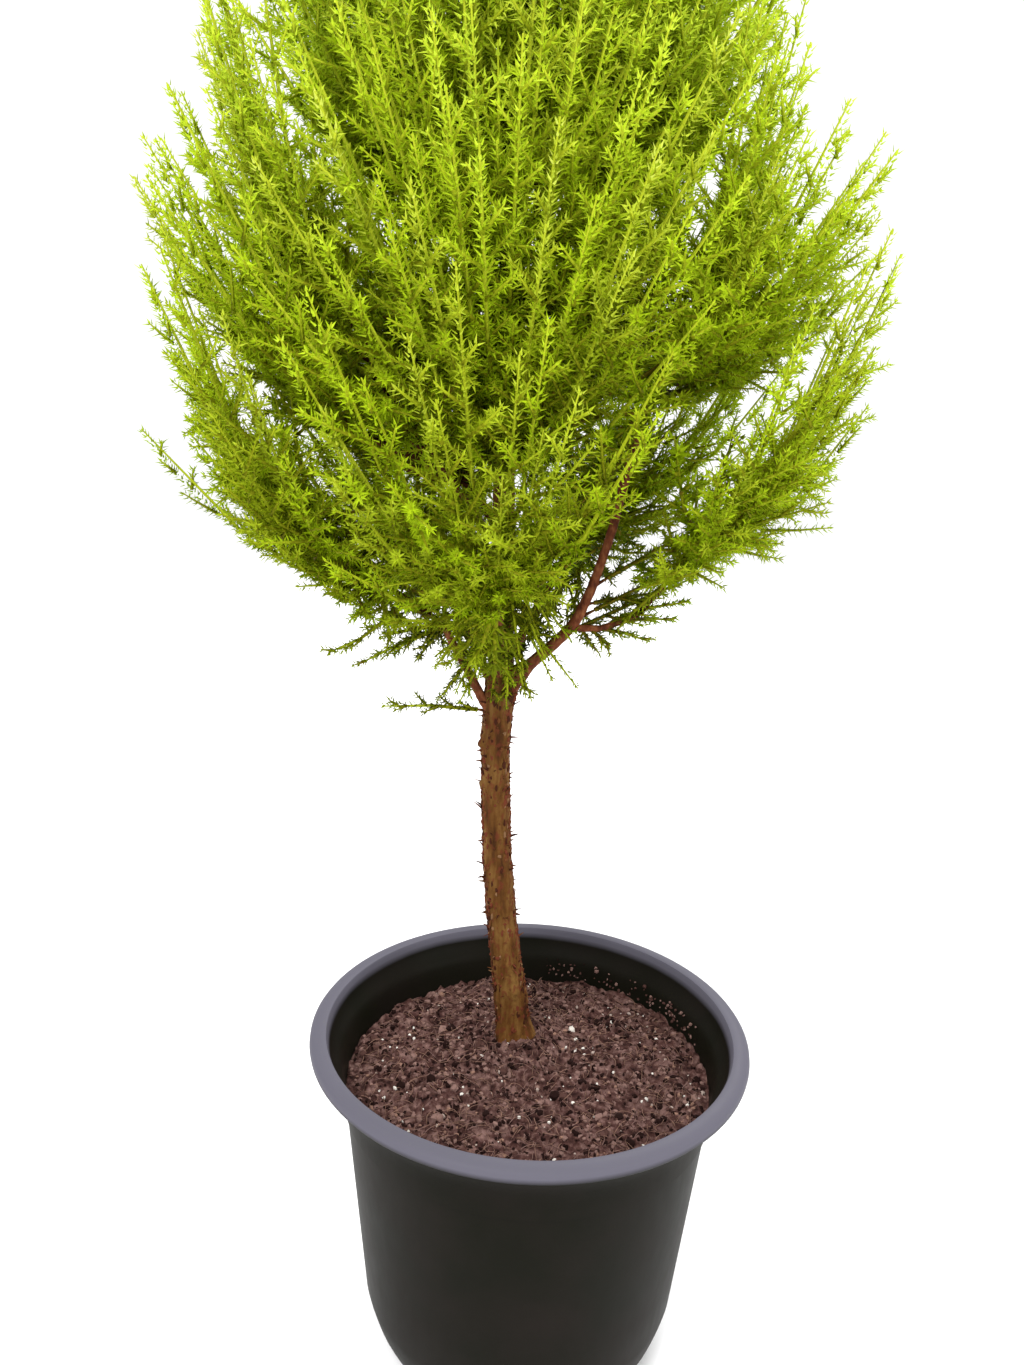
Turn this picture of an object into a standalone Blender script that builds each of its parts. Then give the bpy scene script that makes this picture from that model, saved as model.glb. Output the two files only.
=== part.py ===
"""A lemon cypress grown as a small standard: a bare stem and a lemon-shaped crown, in its nursery pot.

Metres, +Z up. The origin is the centre of the pot's underside, and -Y is the side that faces the viewer.
The crown is shared out among masses of foliage. Each mass keeps to a wedge between flat planes, and
holds a stem, a small dense core and plumes of needles that sweep up and out to the crown's outline.
"""

import math
import random

import bmesh
import bpy
from mathutils import Vector

SEED = 11

# Pot
POT_HEIGHT = 0.130
RIM_RADIUS = 0.0825
BASE_RADIUS = 0.050
FLOOR = 0.0020
WALL = 0.0013
WALL_FOOT = (0.0612, 0.022)
WALL_STEP = (0.0690, 0.1009)
STEP_OUT = 0.0008
FLARE_START = 0.1130
SHELF = 0.1190
LIP_UNDER = 0.1246
POT_SIDES = 36
DRAINS = 5
DRAIN_RADIUS = 0.0045
DRAIN_RING = 0.041

# Potting mix
SOIL_EDGE = 0.1075
SOIL_CENTRE = 0.1120
SOIL_ROUGH = 0.0012
SOIL_RINGS = 4
SEAT_RADIUS = 0.0105
MESH_GAP = 0.0003

# Trunk: x, y, z and radius along its middle, from the cut at the soil to its tip inside the crown
TRUNK_FOOT = Vector((-0.0055, 0.019, SOIL_CENTRE + MESH_GAP))
TRUNK_LINE = (
    (-0.0055, 0.019, 0.1123, 0.0070),
    (-0.0065, 0.019, 0.1210, 0.0066),
    (-0.0082, 0.019, 0.1340, 0.0062),
    (-0.0104, 0.019, 0.1492, 0.0058),
    (-0.0130, 0.019, 0.1700, 0.0056),
    (-0.0151, 0.019, 0.1914, 0.0054),
    (-0.0166, 0.019, 0.2198, 0.0052),
    (-0.0171, 0.019, 0.2380, 0.0053),
    (-0.0164, 0.019, 0.2530, 0.0054),
    (-0.0163, 0.019, 0.2750, 0.0044),
    (-0.0175, 0.020, 0.3300, 0.0038),
    (-0.0188, 0.019, 0.4000, 0.0031),
    (-0.0190, 0.019, 0.4600, 0.0025),
    (-0.0190, 0.019, 0.4950, 0.0017),
)
TRUNK_SIDES = 9
TRUNK_RINGS = 21
FLARE_HEIGHT = 0.012
FLARE_OUT = 0.0022
FLARE_LOBES = 3

# Boughs that show, as points and radii along their middles
RIGHT_BOUGH = (
    (-0.0140, 0.0185, 0.2550, 0.0029),
    (-0.0100, 0.0180, 0.2594, 0.0027),
    (-0.0052, 0.0180, 0.2658, 0.0022),
    (0.0012, 0.0180, 0.2718, 0.0021),
    (0.0092, 0.0185, 0.2806, 0.0020),
    (0.0134, 0.0185, 0.2889, 0.0018),
    (0.0170, 0.0190, 0.2990, 0.0017),
    (0.0206, 0.0190, 0.3115, 0.0016),
    (0.0226, 0.0190, 0.3200, 0.0016),
    (0.0255, 0.0195, 0.3350, 0.0016),
    (0.0292, 0.0200, 0.3504, 0.0015),
)
LEFT_BOUGH = (
    (-0.0195, 0.0178, 0.2470, 0.0019),
    (-0.0222, 0.0175, 0.2512, 0.0018),
    (-0.0250, 0.0172, 0.2565, 0.0017),
    (-0.0290, 0.0170, 0.2640, 0.0016),
    (-0.0332, 0.0170, 0.2707, 0.0015),
    (-0.0370, 0.0165, 0.2790, 0.0014),
)
LOW_RIGHT_BRANCH = (
    (0.0088, 0.0187, 0.2796, 0.0013),
    (0.0155, 0.0190, 0.2795, 0.0012),
    (0.0215, 0.0195, 0.2802, 0.0012),
    (0.0333, 0.0205, 0.2854, 0.0012),
)
BOUGH_SIDES = 6
BOUGH_RINGS = {"right": 12, "left": 8, "low_right": 5, "hidden": 6}

# Boughs that the foliage hides: the way each one points in degrees, and the height where it leaves the trunk
HIDDEN_BOUGHS = {
    "back_right": (54, 0.2640),
    "back_left": (126, 0.2530),
    "front": (268, 0.2600),
}
HIDDEN_REACH = 0.028
HIDDEN_RISE = 0.027
HIDDEN_RADII = (0.0019, 0.0014)

# Outline of the crown: its axis, heights and widest radius, and the powers that round it below and above
CROWN_AXIS = Vector((-0.0190, 0.0190, 0))
CROWN_FOOT = 0.252
CROWN_WIDEST = 0.395
CROWN_TOP = 0.583
CROWN_RADIUS = 0.114
ROUND_BELOW = (2.3, 0.88)
ROUND_ABOVE = (1.7, 0.6)
LUMPS = 0.035
# Places where the crown stands further out or in: turn, height, how far, and how tall and how wide
SWELLS = (
    (0, 0.400, 0.019, 0.036, 42),
    (180, 0.429, 0.018, 0.016, 36),
    (180, 0.393, 0.007, 0.014, 36),
    (180, 0.458, -0.010, 0.010, 36),
    (180, 0.498, 0.005, 0.030, 50),
    (0, 0.463, -0.018, 0.014, 42),
    (0, 0.308, -0.014, 0.020, 48),
    (180, 0.295, -0.006, 0.014, 45),
)
SEARCH_RADIUS = 0.16
SEARCH_STEPS = 160

# Sectors round the trunk, as degrees and lift, and the floors of the tiers, as height at the trunk and slope
SECTORS = {
    "right": (342, 0.000),
    "back_right": (54, 0.006),
    "back_left": (126, -0.005),
    "left": (198, 0.004),
    "front": (270, -0.004),
}
HALF_SECTOR = math.radians(180 / len(SECTORS))
FLOORS = ((0.198, 0.80), (0.290, 1.00), (0.372, 1.20), (0.452, 1.70))
LOWEST_TIP = 0.224
TIERS = ("low", "middle", "upper")
MASS_GAP = 0.0006
LIMB_GAP = 0.00035
SPRAY_LIMB_GAP = 0.0012

# Stems: how far above its tier's floor one leaves the trunk, its radii, its reach and its sag
STEM_RISE = {"middle": 0.012, "upper": 0.014}
STEM_STAGGER = 0.011
STEM_RADII = {
    "low": (0.0012, 0.0010),
    "middle": (0.0015, 0.0012),
    "upper": (0.0014, 0.0011),
    "top": (0.0013, 0.0011),
}
STEM_REACH = 0.66
STEM_SAG = 0.10
STEM_SIDES = 5
STEM_RINGS = 5
TOP_STEM_DROP = 0.022

# The dense cores of the masses. An open mass has none.
CORE_RADIUS = {"low": 0.015, "middle": 0.019, "upper": 0.016, "top": 0.011}
CORE_PLACE = 0.62
OPEN_MASSES = ("low_right",)

# Plumes and the shoots to both sides of them
PLUMES = {"low": 6, "middle": 7, "upper": 6, "top": 6}
PLUME_LENGTH = 0.085
PLUME_RINGS = ((0, 0.8), (0.45, 1.0), (0.82, 0.7))
PLUME_CORE = 0.0036
TWIG_RADIUS = 0.0007
INNER_EVERY = 4
SAG_TRIES = (1, 0.6, 0.3, 0)
OUTER_REACH = (0.93, 1.03)
INNER_REACH = (0.66, 0.80)
TOP_TIP_DROP = 0.012
TOP_SPREAD = 0.030
SHOOT_CORE = 0.0033
SHOOT_LENGTH = (0.028, 0.038)
SHOOT_SAG = 0.05
SHOOT_PLACES = (0.28, 0.68)
SHOOT_TURN = 2.4
SHOOT_SPREAD = 0.9
NEEDLE = 0.0062
NEEDLE_LEAN = 0.7
NEEDLE_EVERY = 3

# Plumes that stand out past the rest: the way each points in degrees, its height and its reach
WISPS = {
    "low_left": ((180, 0.344, 0.122), (186, 0.268, 0.058)),
    "middle_left": ((178, 0.424, 0.123),),
    "low_right": ((6, 0.336, 0.104), (3, 0.400, 0.120)),
    "middle_right": ((-3, 0.446, 0.117),),
    "low_front": ((262, 0.262, 0.050),),
}


def material(name, colour, roughness):
    made = bpy.data.materials.new(name)
    made.use_nodes = True
    shader = made.node_tree.nodes["Principled BSDF"]
    shader.inputs["Base Color"].default_value = (*colour, 1)
    shader.inputs["Roughness"].default_value = roughness
    shader.inputs["Metallic"].default_value = 0
    return made


def add_object(name, mesh, finish, collection=None):
    made = bpy.data.objects.new(name, mesh)
    (collection or bpy.context.scene.collection).objects.link(made)
    mesh.materials.append(finish)
    return made


def finished_mesh(name, bm, smooth=True):
    """The bmesh as a mesh whose faces point out, smooth but for its edges."""
    bmesh.ops.recalc_face_normals(bm, faces=bm.faces)
    mesh = bpy.data.meshes.new(name)
    bm.to_mesh(mesh)
    bm.free()
    if smooth:
        mesh.shade_smooth()
        mesh.set_sharp_from_angle(angle=math.radians(35))
    return mesh


def out_vector(turn):
    return Vector((math.cos(turn), math.sin(turn), 0))


# Pot

def pot_wall(z):
    """The radius of the wall's outside at a height between its foot and its flare."""
    (foot_r, foot_z), (step_r, step_z) = WALL_FOOT, WALL_STEP
    radius = foot_r + (z - foot_z) * (step_r - foot_r) / (step_z - foot_z)
    return radius + (STEP_OUT if z > step_z else 0)


def pot_inside(z):
    return pot_wall(z) - WALL - (0 if z > WALL_STEP[1] else STEP_OUT / 2)


def pot_profile():
    """Half of the pot's section: from its underside up the outside, over the lip and down inside."""
    step = WALL_STEP[1]
    outside = [
        (BASE_RADIUS, 0),
        (BASE_RADIUS + 0.0025, 0.0015),
        (0.0560, 0.0060),
        (0.0588, 0.0130),
        WALL_FOOT,
        (pot_wall(step), step),
        (pot_wall(step + 0.0006), step + 0.0006),
        (pot_wall(FLARE_START), FLARE_START),
        (0.0735, SHELF + 0.0005),
        (0.0768, LIP_UNDER - 0.0003),
    ]
    lip = [
        (RIM_RADIUS - 0.0013, LIP_UNDER),
        (RIM_RADIUS, LIP_UNDER + 0.0022),
        (RIM_RADIUS - 0.0020, POT_HEIGHT - 0.0004),
        (0.0776, POT_HEIGHT),
        (0.0761, POT_HEIGHT - 0.0006),
        (0.0753, LIP_UNDER + 0.0010),
    ]
    inside = [
        (0.0722, SHELF + 0.0010),
        (0.0706, SHELF - 0.0012),
        (pot_inside(FLARE_START), FLARE_START),
        (pot_inside(step + 0.001), step + 0.001),
        (pot_inside(0.030), 0.030),
        (0.0540, 0.0060),
        (0.0500, FLOOR),
    ]
    return outside + lip + inside


def turned(profile, sides):
    """The profile turned once round Z. Its two open ends are closed by flat discs."""
    bm = bmesh.new()
    corners = [bm.verts.new((radius, 0, z)) for radius, z in profile]
    edges = [bm.edges.new(pair) for pair in zip(corners, corners[1:])]
    bmesh.ops.spin(
        bm, geom=corners + edges, cent=(0, 0, 0), axis=(0, 0, 1), angle=math.tau, steps=sides, use_merge=True
    )
    bmesh.ops.holes_fill(bm, edges=[edge for edge in bm.edges if edge.is_boundary], sides=sides)
    return bm


def make_pot(finish):
    cutters = bpy.data.collections.new("drain_cutters")
    bpy.context.scene.collection.children.link(cutters)
    for index in range(DRAINS):
        bm = bmesh.new()
        bmesh.ops.create_cone(
            bm, cap_ends=True, segments=8, radius1=DRAIN_RADIUS, radius2=DRAIN_RADIUS, depth=FLOOR * 4
        )
        cutter = add_object(f"drain_cutter_{index + 1}", finished_mesh("drain_cutter", bm), finish, cutters)
        cutter.location = out_vector(math.tau * (index + 0.5) / DRAINS) * DRAIN_RING
        cutter.hide_render = True
        cutter.display_type = "WIRE"
    pot = add_object("pot", finished_mesh("pot", turned(pot_profile(), POT_SIDES)), finish)
    holes = pot.modifiers.new("drain_holes", "BOOLEAN")
    holes.operation = "DIFFERENCE"
    holes.operand_type = "COLLECTION"
    holes.collection = cutters
    return pot


# Potting mix

def circle(middle, radius):
    return [middle + out_vector(math.tau * k / POT_SIDES) * radius for k in range(POT_SIDES)]


def make_soil(finish):
    """Fills the pot to its mounded top, which has a flat seat for the trunk and 0.3 mm of air to the wall."""
    rng = random.Random(SEED)
    wall = [
        (0.0500 - MESH_GAP, FLOOR + MESH_GAP),
        (0.0540 - MESH_GAP * 1.5, 0.0060),
        (pot_inside(0.030) - MESH_GAP, 0.030),
        (pot_inside(SOIL_EDGE) - MESH_GAP, SOIL_EDGE),
    ]
    rings = [circle(Vector((0, 0, z)), radius) for radius, z in wall]
    edge = rings[-1]
    seat = circle(Vector((TRUNK_FOOT.x, TRUNK_FOOT.y, SOIL_CENTRE)), SEAT_RADIUS)
    for number in range(1, SOIL_RINGS + 1):
        rough = SOIL_ROUGH if number < SOIL_RINGS else 0
        rings.append([
            outer.lerp(inner, number / SOIL_RINGS) + Vector((0, 0, rng.uniform(-rough, rough)))
            for outer, inner in zip(edge, seat)
        ])
    bm, _, _ = extruded(rings)
    return add_object("soil", finished_mesh("soil", bm), finish)


# Limbs

def along(points, share):
    """A point of a smooth curve through the given points, with its radius as a fourth number."""
    spot = share * (len(points) - 1)
    first = min(int(spot), len(points) - 2)
    t = spot - first
    before, a, b, after = (Vector(points[min(max(first + k, 0), len(points) - 1)]) for k in (-1, 0, 1, 2))
    square = 2 * before - 5 * a + 4 * b - after
    cube = 3 * a - before - 3 * b + after
    return a + 0.5 * ((b - before) * t + square * t**2 + cube * t**3)


class Limb:
    """A tapering round limb: its stations, and how far a point is from its skin."""

    def __init__(self, points, rings):
        line = [along(points, index / (rings - 1)) for index in range(rings)]
        self.middles = [station.xyz for station in line]
        self.radii = [station.w for station in line]

    def distance(self, point):
        """From the skin to a point, or less than nothing inside."""
        nearest = math.inf
        for a, b, ra, rb in zip(self.middles, self.middles[1:], self.radii, self.radii[1:]):
            run = b - a
            share = min(max((point - a).dot(run) / run.length_squared, 0), 1)
            nearest = min(nearest, (point - a - run * share).length - (ra + (rb - ra) * share))
        return nearest

    def way(self, index):
        """The direction of the limb at one of its stations."""
        last = len(self.middles) - 1
        return (self.middles[min(index + 1, last)] - self.middles[max(index - 1, 0)]).normalized()

    def ways(self):
        return [self.way(index) for index in range(len(self.middles))]

    def tip(self):
        """The last station and the direction there."""
        return self.middles[-1], self.way(len(self.middles) - 1)

    def at_height(self, z):
        for a, b in zip(self.middles, self.middles[1:]):
            if a.z <= z <= b.z:
                return a.lerp(b, (z - a.z) / (b.z - a.z))
        return self.middles[-1].copy()


def ring_axes(direction):
    """Two unit vectors across a direction."""
    across = direction.orthogonal() if abs(direction.z) > 0.999 else direction.cross(Vector((0, 0, 1)))
    across.normalize()
    return across, across.cross(direction).normalized()


def rings_along(middles, ways, radii, sides, twist=0.0):
    """Rings of points across each of a run of directions, carried from one to the next without a turn."""
    turns = [twist + math.tau * k / sides for k in range(sides)]
    u = ring_axes(ways[0])[0]
    rings = []
    for middle, way, radius in zip(middles, ways, radii):
        u = (u - way * u.dot(way)).normalized()
        v = u.cross(way)
        rings.append([middle + radius * (u * math.cos(turn) + v * math.sin(turn)) for turn in turns])
    return rings


def extruded(rings):
    """A closed tube drawn out from ring to ring of points, with the faces that close its two ends."""
    bm = bmesh.new()
    foot = cap = bm.faces.new([bm.verts.new(place) for place in rings[0]])
    for number, ring in enumerate(rings[1:]):
        out = bmesh.ops.extrude_face_region(bm, geom=[cap])
        if number:
            bmesh.ops.delete(bm, geom=[cap], context="FACES_ONLY")
        cap = next(item for item in out["geom"] if isinstance(item, bmesh.types.BMFace))
        for corner, place in zip(cap.verts, ring):
            corner.co = place
    return bm, foot, cap


def seated(place, direction, carrier):
    """Slides a point along a direction until it stands just off the skin of the carrier."""
    low, high = -0.02, 0.02
    for _ in range(40):
        middle = (low + high) / 2
        if carrier.distance(place + direction * middle) < LIMB_GAP:
            low = middle
        else:
            high = middle
    return place + direction * high


def grown_from(rings, direction, carrier):
    """A tube whose foot follows the carrier's skin. Rings that the skin would cut are left out."""
    clear = [ring for ring in rings[1:] if min(map(carrier.distance, ring)) > LIMB_GAP * 3]
    bm, foot, _ = extruded([[seated(place, direction, carrier) for place in rings[0]], *clear])
    middle = bmesh.ops.poke(bm, faces=[foot])["verts"][0]
    middle.co = seated(sum(rings[0], Vector()) / len(rings[0]), direction, carrier)
    return bm


def make_trunk(trunk, finish):
    """The trunk has a flat foot, and flares there in a few low lobes."""
    ways = [Vector((0, 0, 1))] + trunk.ways()[1:]
    rings = rings_along(trunk.middles, ways, trunk.radii, TRUNK_SIDES)
    for middle, ring in zip(trunk.middles, rings):
        flare = max(0.0, 1 - (middle.z - TRUNK_FOOT.z) / FLARE_HEIGHT) ** 2
        for k, place in enumerate(ring):
            lobe = 0.55 + 0.45 * math.cos(FLARE_LOBES * math.tau * k / TRUNK_SIDES + 0.6)
            place += (place - middle).normalized() * FLARE_OUT * flare * lobe
    bm, _, _ = extruded(rings)
    return add_object("trunk", finished_mesh("trunk", bm), finish)


def make_bough(name, limb, carrier, finish):
    rings = rings_along(limb.middles, limb.ways(), limb.radii, BOUGH_SIDES)
    return add_object(name, finished_mesh(name, grown_from(rings, limb.way(0), carrier)), finish)


def hidden_bough(trunk, degrees, height):
    """A bough that leaves the trunk at a height and curves up and out."""
    start = trunk.at_height(height)
    out = out_vector(math.radians(degrees))
    first, last = HIDDEN_RADII
    points = []
    for share in (0.12, 0.4, 0.7, 1.0):
        place = start + out * HIDDEN_REACH * share + Vector((0, 0, HIDDEN_RISE * share**1.2))
        points.append((*place, first + (last - first) * share))
    return Limb(points, BOUGH_RINGS["hidden"])


# The spaces of the masses

def crown_radius(z, turn):
    """How far the crown reaches from its axis at a height: a lemon shape, a little lumpy round the axis."""
    if z < CROWN_WIDEST:
        share, (bulge, root) = (CROWN_WIDEST - z) / (CROWN_WIDEST - CROWN_FOOT), ROUND_BELOW
    else:
        share, (bulge, root) = (z - CROWN_WIDEST) / (CROWN_TOP - CROWN_WIDEST), ROUND_ABOVE
    lump = 1 + LUMPS * math.sin(3 * turn + z * 55) * math.cos(2 * turn - z * 38 + 1)
    plain = CROWN_RADIUS * max(0.0, 1 - share**bulge) ** root * lump
    return plain + sum(swell(z, turn, *numbers) for numbers in SWELLS)


def swell(z, turn, degrees, height, out, tall, wide):
    off = math.remainder(turn - math.radians(degrees), math.tau) / math.radians(wide)
    return out * math.exp(-(((z - height) / tall) ** 2) - off**2)


def on_crown(turn, radius, z):
    return CROWN_AXIS + out_vector(turn) * radius + Vector((0, 0, z))


class Cell:
    """The space of one mass: the points on the inner side of every one of its planes."""

    def __init__(self):
        self.planes = []

    def add(self, normal, point):
        normal = normal.normalized()
        self.planes.append((normal, normal.dot(point)))

    def add_floor(self, way, number, lift, side):
        """The floor of tier `number` in the sector along `way`, with the cell above it or below."""
        height, slope = FLOORS[number]
        self.add((Vector((0, 0, 1)) - way * slope) * side, CROWN_AXIS + Vector((0, 0, height + lift)))

    def holds(self, point, margin=MASS_GAP):
        return all(normal.dot(point) - level > margin for normal, level in self.planes)


def sector_cell(sector, number):
    degrees, lift = SECTORS[sector]
    turn = math.radians(degrees)
    way = out_vector(turn)
    cell = Cell()
    for side in (-1, 1):
        edge = turn + side * HALF_SECTOR
        cell.add(Vector((math.sin(edge), -math.cos(edge), 0)) * side, CROWN_AXIS)
    cell.add(way, CROWN_AXIS)
    cell.add_floor(way, number, lift if number else 0, 1)
    cell.add_floor(way, number + 1, lift, -1)
    return cell


def top_cell():
    cell = Cell()
    for degrees, lift in SECTORS.values():
        cell.add_floor(out_vector(math.radians(degrees)), len(TIERS), lift, 1)
    return cell


def tip_on_crown(way_turn, turn, height, slope, reach):
    """Where the sloping sheet that starts at a height on the axis comes out through the crown's outline."""
    lean = slope * math.cos(turn - way_turn)
    for step in range(SEARCH_STEPS, 0, -1):
        radius = SEARCH_RADIUS * step / SEARCH_STEPS
        if crown_radius(height + lean * radius, turn) >= radius:
            return on_crown(turn, radius * reach, height + lean * radius * reach)
    return None


# Sprays

class Curve:
    """A plume's or a stem's middle: it leaves its start low and turns up towards its tip."""

    def __init__(self, start, tip, sag):
        self.start, self.tip = start, tip
        run = tip - start
        flat = Vector((run.x, run.y, 0))
        self.bend = start + run * 0.5 + flat * sag * 0.5 - Vector((0, 0, run.length * sag))

    def at(self, t):
        return self.start * (1 - t) ** 2 + self.bend * 2 * t * (1 - t) + self.tip * t**2

    def way(self, t):
        return ((self.bend - self.start) * (1 - t) + (self.tip - self.bend) * t).normalized()


def toothed(curve, rings, needle_from, rng):
    """A slim core along a curve, which ends in a point, with needles drawn out past `needle_from`."""
    twist = rng.uniform(0, math.tau)
    places, ways = [curve.at(share) for share, _ in rings], [curve.way(share) for share, _ in rings]
    bm, _, cap = extruded(rings_along(places, ways, [radius for _, radius in rings], 3, twist))
    bmesh.ops.poke(bm, faces=[cap])["verts"][0].co = curve.tip
    bmesh.ops.recalc_face_normals(bm, faces=bm.faces)
    bmesh.ops.triangulate(bm, faces=[face for face in bm.faces if len(face.verts) == 4])
    bm.faces.ensure_lookup_table()
    first = curve.at(needle_from)
    forward = curve.way(0.8)
    sides = [
        face
        for face in bm.faces
        if (face.calc_center_median() - first).dot(forward) > 0 and abs(face.normal.dot(forward)) < 0.8
    ]
    for face in sides[::NEEDLE_EVERY]:
        out = face.normal + forward * NEEDLE_LEAN
        foot = face.calc_center_median()
        bmesh.ops.poke(bm, faces=[face])["verts"][0].co = foot + out * NEEDLE * rng.uniform(0.75, 1.1)
    return bm


def keeps_clear(bm, curve, cell, limbs, radius):
    """True if a piece lies in its cell and clear of every limb."""
    if not all(cell.holds(corner.co) for corner in bm.verts):
        return False
    places = [curve.at(step / 8) for step in range(1, 9)]
    return all(limb.distance(place) > radius + SPRAY_LIMB_GAP for place in places for limb in limbs)


def lumpy_core(middle, way, radius, cell, rng):
    """A small dense heart, longer along the stem, with corners pulled in to stay in its cell."""
    bm = bmesh.new()
    bmesh.ops.create_icosphere(bm, subdivisions=1, radius=1)
    for corner in bm.verts:
        out = corner.co.normalized()
        size = radius * rng.uniform(0.8, 1.15) * (1 + 0.55 * abs(out.dot(way)))
        while not cell.holds(middle + out * size, MASS_GAP * 2) and size > radius * 0.1:
            size *= 0.85
        corner.co = middle + out * size
    return bm


def largest_body(mesh):
    """The largest connected body of a mesh, or None if it isn't closed."""
    bm = bmesh.new()
    bm.from_mesh(mesh)
    unseen = set(bm.verts)
    bodies = []
    while unseen:
        body, reached = set(), [unseen.pop()]
        while reached:
            corner = reached.pop()
            body.add(corner)
            for edge in corner.link_edges:
                other = edge.other_vert(corner)
                if other in unseen:
                    unseen.discard(other)
                    reached.append(other)
        bodies.append(body)
    keep = max(bodies, key=len)
    bmesh.ops.delete(bm, geom=[corner for corner in bm.verts if corner not in keep], context="VERTS")
    if any(len(edge.link_faces) != 2 for edge in bm.edges):
        bm.free()
        return None
    return bm


def join(name, pieces, finish):
    """One solid from overlapping pieces. Scraps that the union leaves loose or sealed inside are dropped."""
    members = bpy.data.collections.new(f"{name}_pieces")
    bpy.context.scene.collection.children.link(members)
    parts = []
    for number, bm in enumerate(pieces):
        bmesh.ops.recalc_face_normals(bm, faces=bm.faces)
        mesh = bpy.data.meshes.new(f"{name}_{number}")
        bm.to_mesh(mesh)
        bm.free()
        parts.append(add_object(f"{name}_piece_{number}", mesh, finish, members if number else None))
    stem = parts[0]
    for solver in ("EXACT", "MANIFOLD"):
        union = stem.modifiers.new("union", "BOOLEAN")
        union.operation = "UNION"
        union.operand_type = "COLLECTION"
        union.collection = members
        union.solver = solver
        graph = bpy.context.evaluated_depsgraph_get()
        joined = bpy.data.meshes.new_from_object(stem.evaluated_get(graph))
        stem.modifiers.remove(union)
        bm = largest_body(joined)
        if bm is not None:
            break
    for part in parts:
        bpy.data.objects.remove(part)
    bpy.data.collections.remove(members)
    if bm is None:
        raise ValueError(f"{name} didn't join into one closed body")
    bmesh.ops.triangulate(bm, faces=bm.faces)
    return add_object(name, finished_mesh(name, bm, smooth=False), finish)


# Masses

def make_stem(curve, way, carrier, tier):
    """A mass's stem. Its foot stands just off the trunk's skin, or flat off its bough's tip."""
    first, last = STEM_RADII[tier]
    shares = [step / (STEM_RINGS - 1) for step in range(STEM_RINGS)]
    ways = [curve.way(share) for share in shares]
    if carrier is None:
        ways[0] = way
    radii = [first + (last - first) * share for share in shares]
    rings = rings_along([curve.at(share) for share in shares], ways, radii, STEM_SIDES)
    if carrier:
        return grown_from(rings, curve.way(0), carrier)
    return extruded(rings)[0]


def bare_share(curve):
    """How much of a plume, from its foot, carries no needles."""
    return max(0.2, 1 - PLUME_LENGTH / (curve.tip - curve.start).length)


def plume(curve, rng):
    bare = bare_share(curve)
    rings = [(bare + (1 - bare) * share, PLUME_CORE * size) for share, size in PLUME_RINGS]
    return toothed(curve, [(0, TWIG_RADIUS), *rings], bare, rng), curve, PLUME_CORE


def shoot(carrier, number, side, rng):
    """A shoot that stands off a plume at one of its places, to one side of it or the other."""
    bare = bare_share(carrier)
    spot = bare + (1 - bare) * SHOOT_PLACES[number]
    u, v = ring_axes(carrier.way(spot))
    turn = number * SHOOT_TURN + 0.5
    out = (u * math.cos(turn) + v * 0.5 * math.sin(turn)) * side
    aim = (carrier.way(spot) + out * SHOOT_SPREAD).normalized()
    start = carrier.at(spot)
    curve = Curve(start, start + aim * rng.uniform(*SHOOT_LENGTH), SHOOT_SAG)
    return toothed(curve, [(0, TWIG_RADIUS), (0.45, SHOOT_CORE)], 0.3, rng), curve, SHOOT_CORE


def first_clear(choices, cell, limbs):
    """The mesh and curve of the first piece that keeps to its cell and off the limbs, or two Nones."""
    for bm, curve, radius in choices:
        if keeps_clear(bm, curve, cell, limbs, radius):
            return bm, curve
        bm.free()
    return None, None


def grow_mass(name, tier, cell, root, way, carrier, stem_tip, targets, limbs, finish):
    """A stem, a core, and plumes with shoots from the stem to the targets, all joined into one solid."""
    rng = random.Random(f"{SEED} {name}")
    stem = Curve(root, stem_tip, STEM_SAG)
    pieces = [make_stem(stem, way, carrier, tier)]
    if name not in OPEN_MASSES:
        pieces.append(lumpy_core(stem.at(CORE_PLACE), stem.way(CORE_PLACE), CORE_RADIUS[tier], cell, rng))
    for tip, share, sag in targets(rng):
        start = stem.at(share)
        curves = (Curve(start, tip, sag * less) for less in SAG_TRIES)
        bm, curve = first_clear((plume(curve, rng) for curve in curves), cell, limbs)
        if bm is None:
            continue
        pieces.append(bm)
        for number in range(len(SHOOT_PLACES)):
            sides = (-1, 1) if number % 2 else (1, -1)
            bm, _ = first_clear((shoot(curve, number, side, rng) for side in sides), cell, limbs)
            if bm is not None:
                pieces.append(bm)
    return join(name, pieces, finish)


def sector_targets(name, sector, number):
    """The tips of one mass's plumes, spread over its share of the outline, with inner ones among them."""
    degrees, lift = SECTORS[sector]
    turn = math.radians(degrees)
    (low, low_slope), (high, high_slope) = FLOORS[number], FLOORS[number + 1]
    low = max(low, LOWEST_TIP)
    count = PLUMES[TIERS[number]]

    def tips(rng):
        for wisp_degrees, z, reach in WISPS.get(name, ()):
            yield on_crown(math.radians(wisp_degrees), reach, z), 0.6, 0.12
        for index in range(count):
            climb = (index + 0.5) / count
            swing = (0.5 + index * 0.618034) % 1 * 2 - 1
            aim = turn + (swing * 0.86 + rng.uniform(-0.06, 0.06)) * HALF_SECTOR
            share = 0.08 + 0.84 * climb
            height = low + (high - low) * share + lift
            slope = low_slope + (high_slope - low_slope) * share
            reach = rng.uniform(*(INNER_REACH if index % INNER_EVERY == 2 else OUTER_REACH))
            tip = tip_on_crown(turn, aim, height, slope, reach)
            if tip is not None:
                yield tip, 0.25 + 0.65 * climb, 0.12 + 0.10 * climb

    return tips


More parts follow.
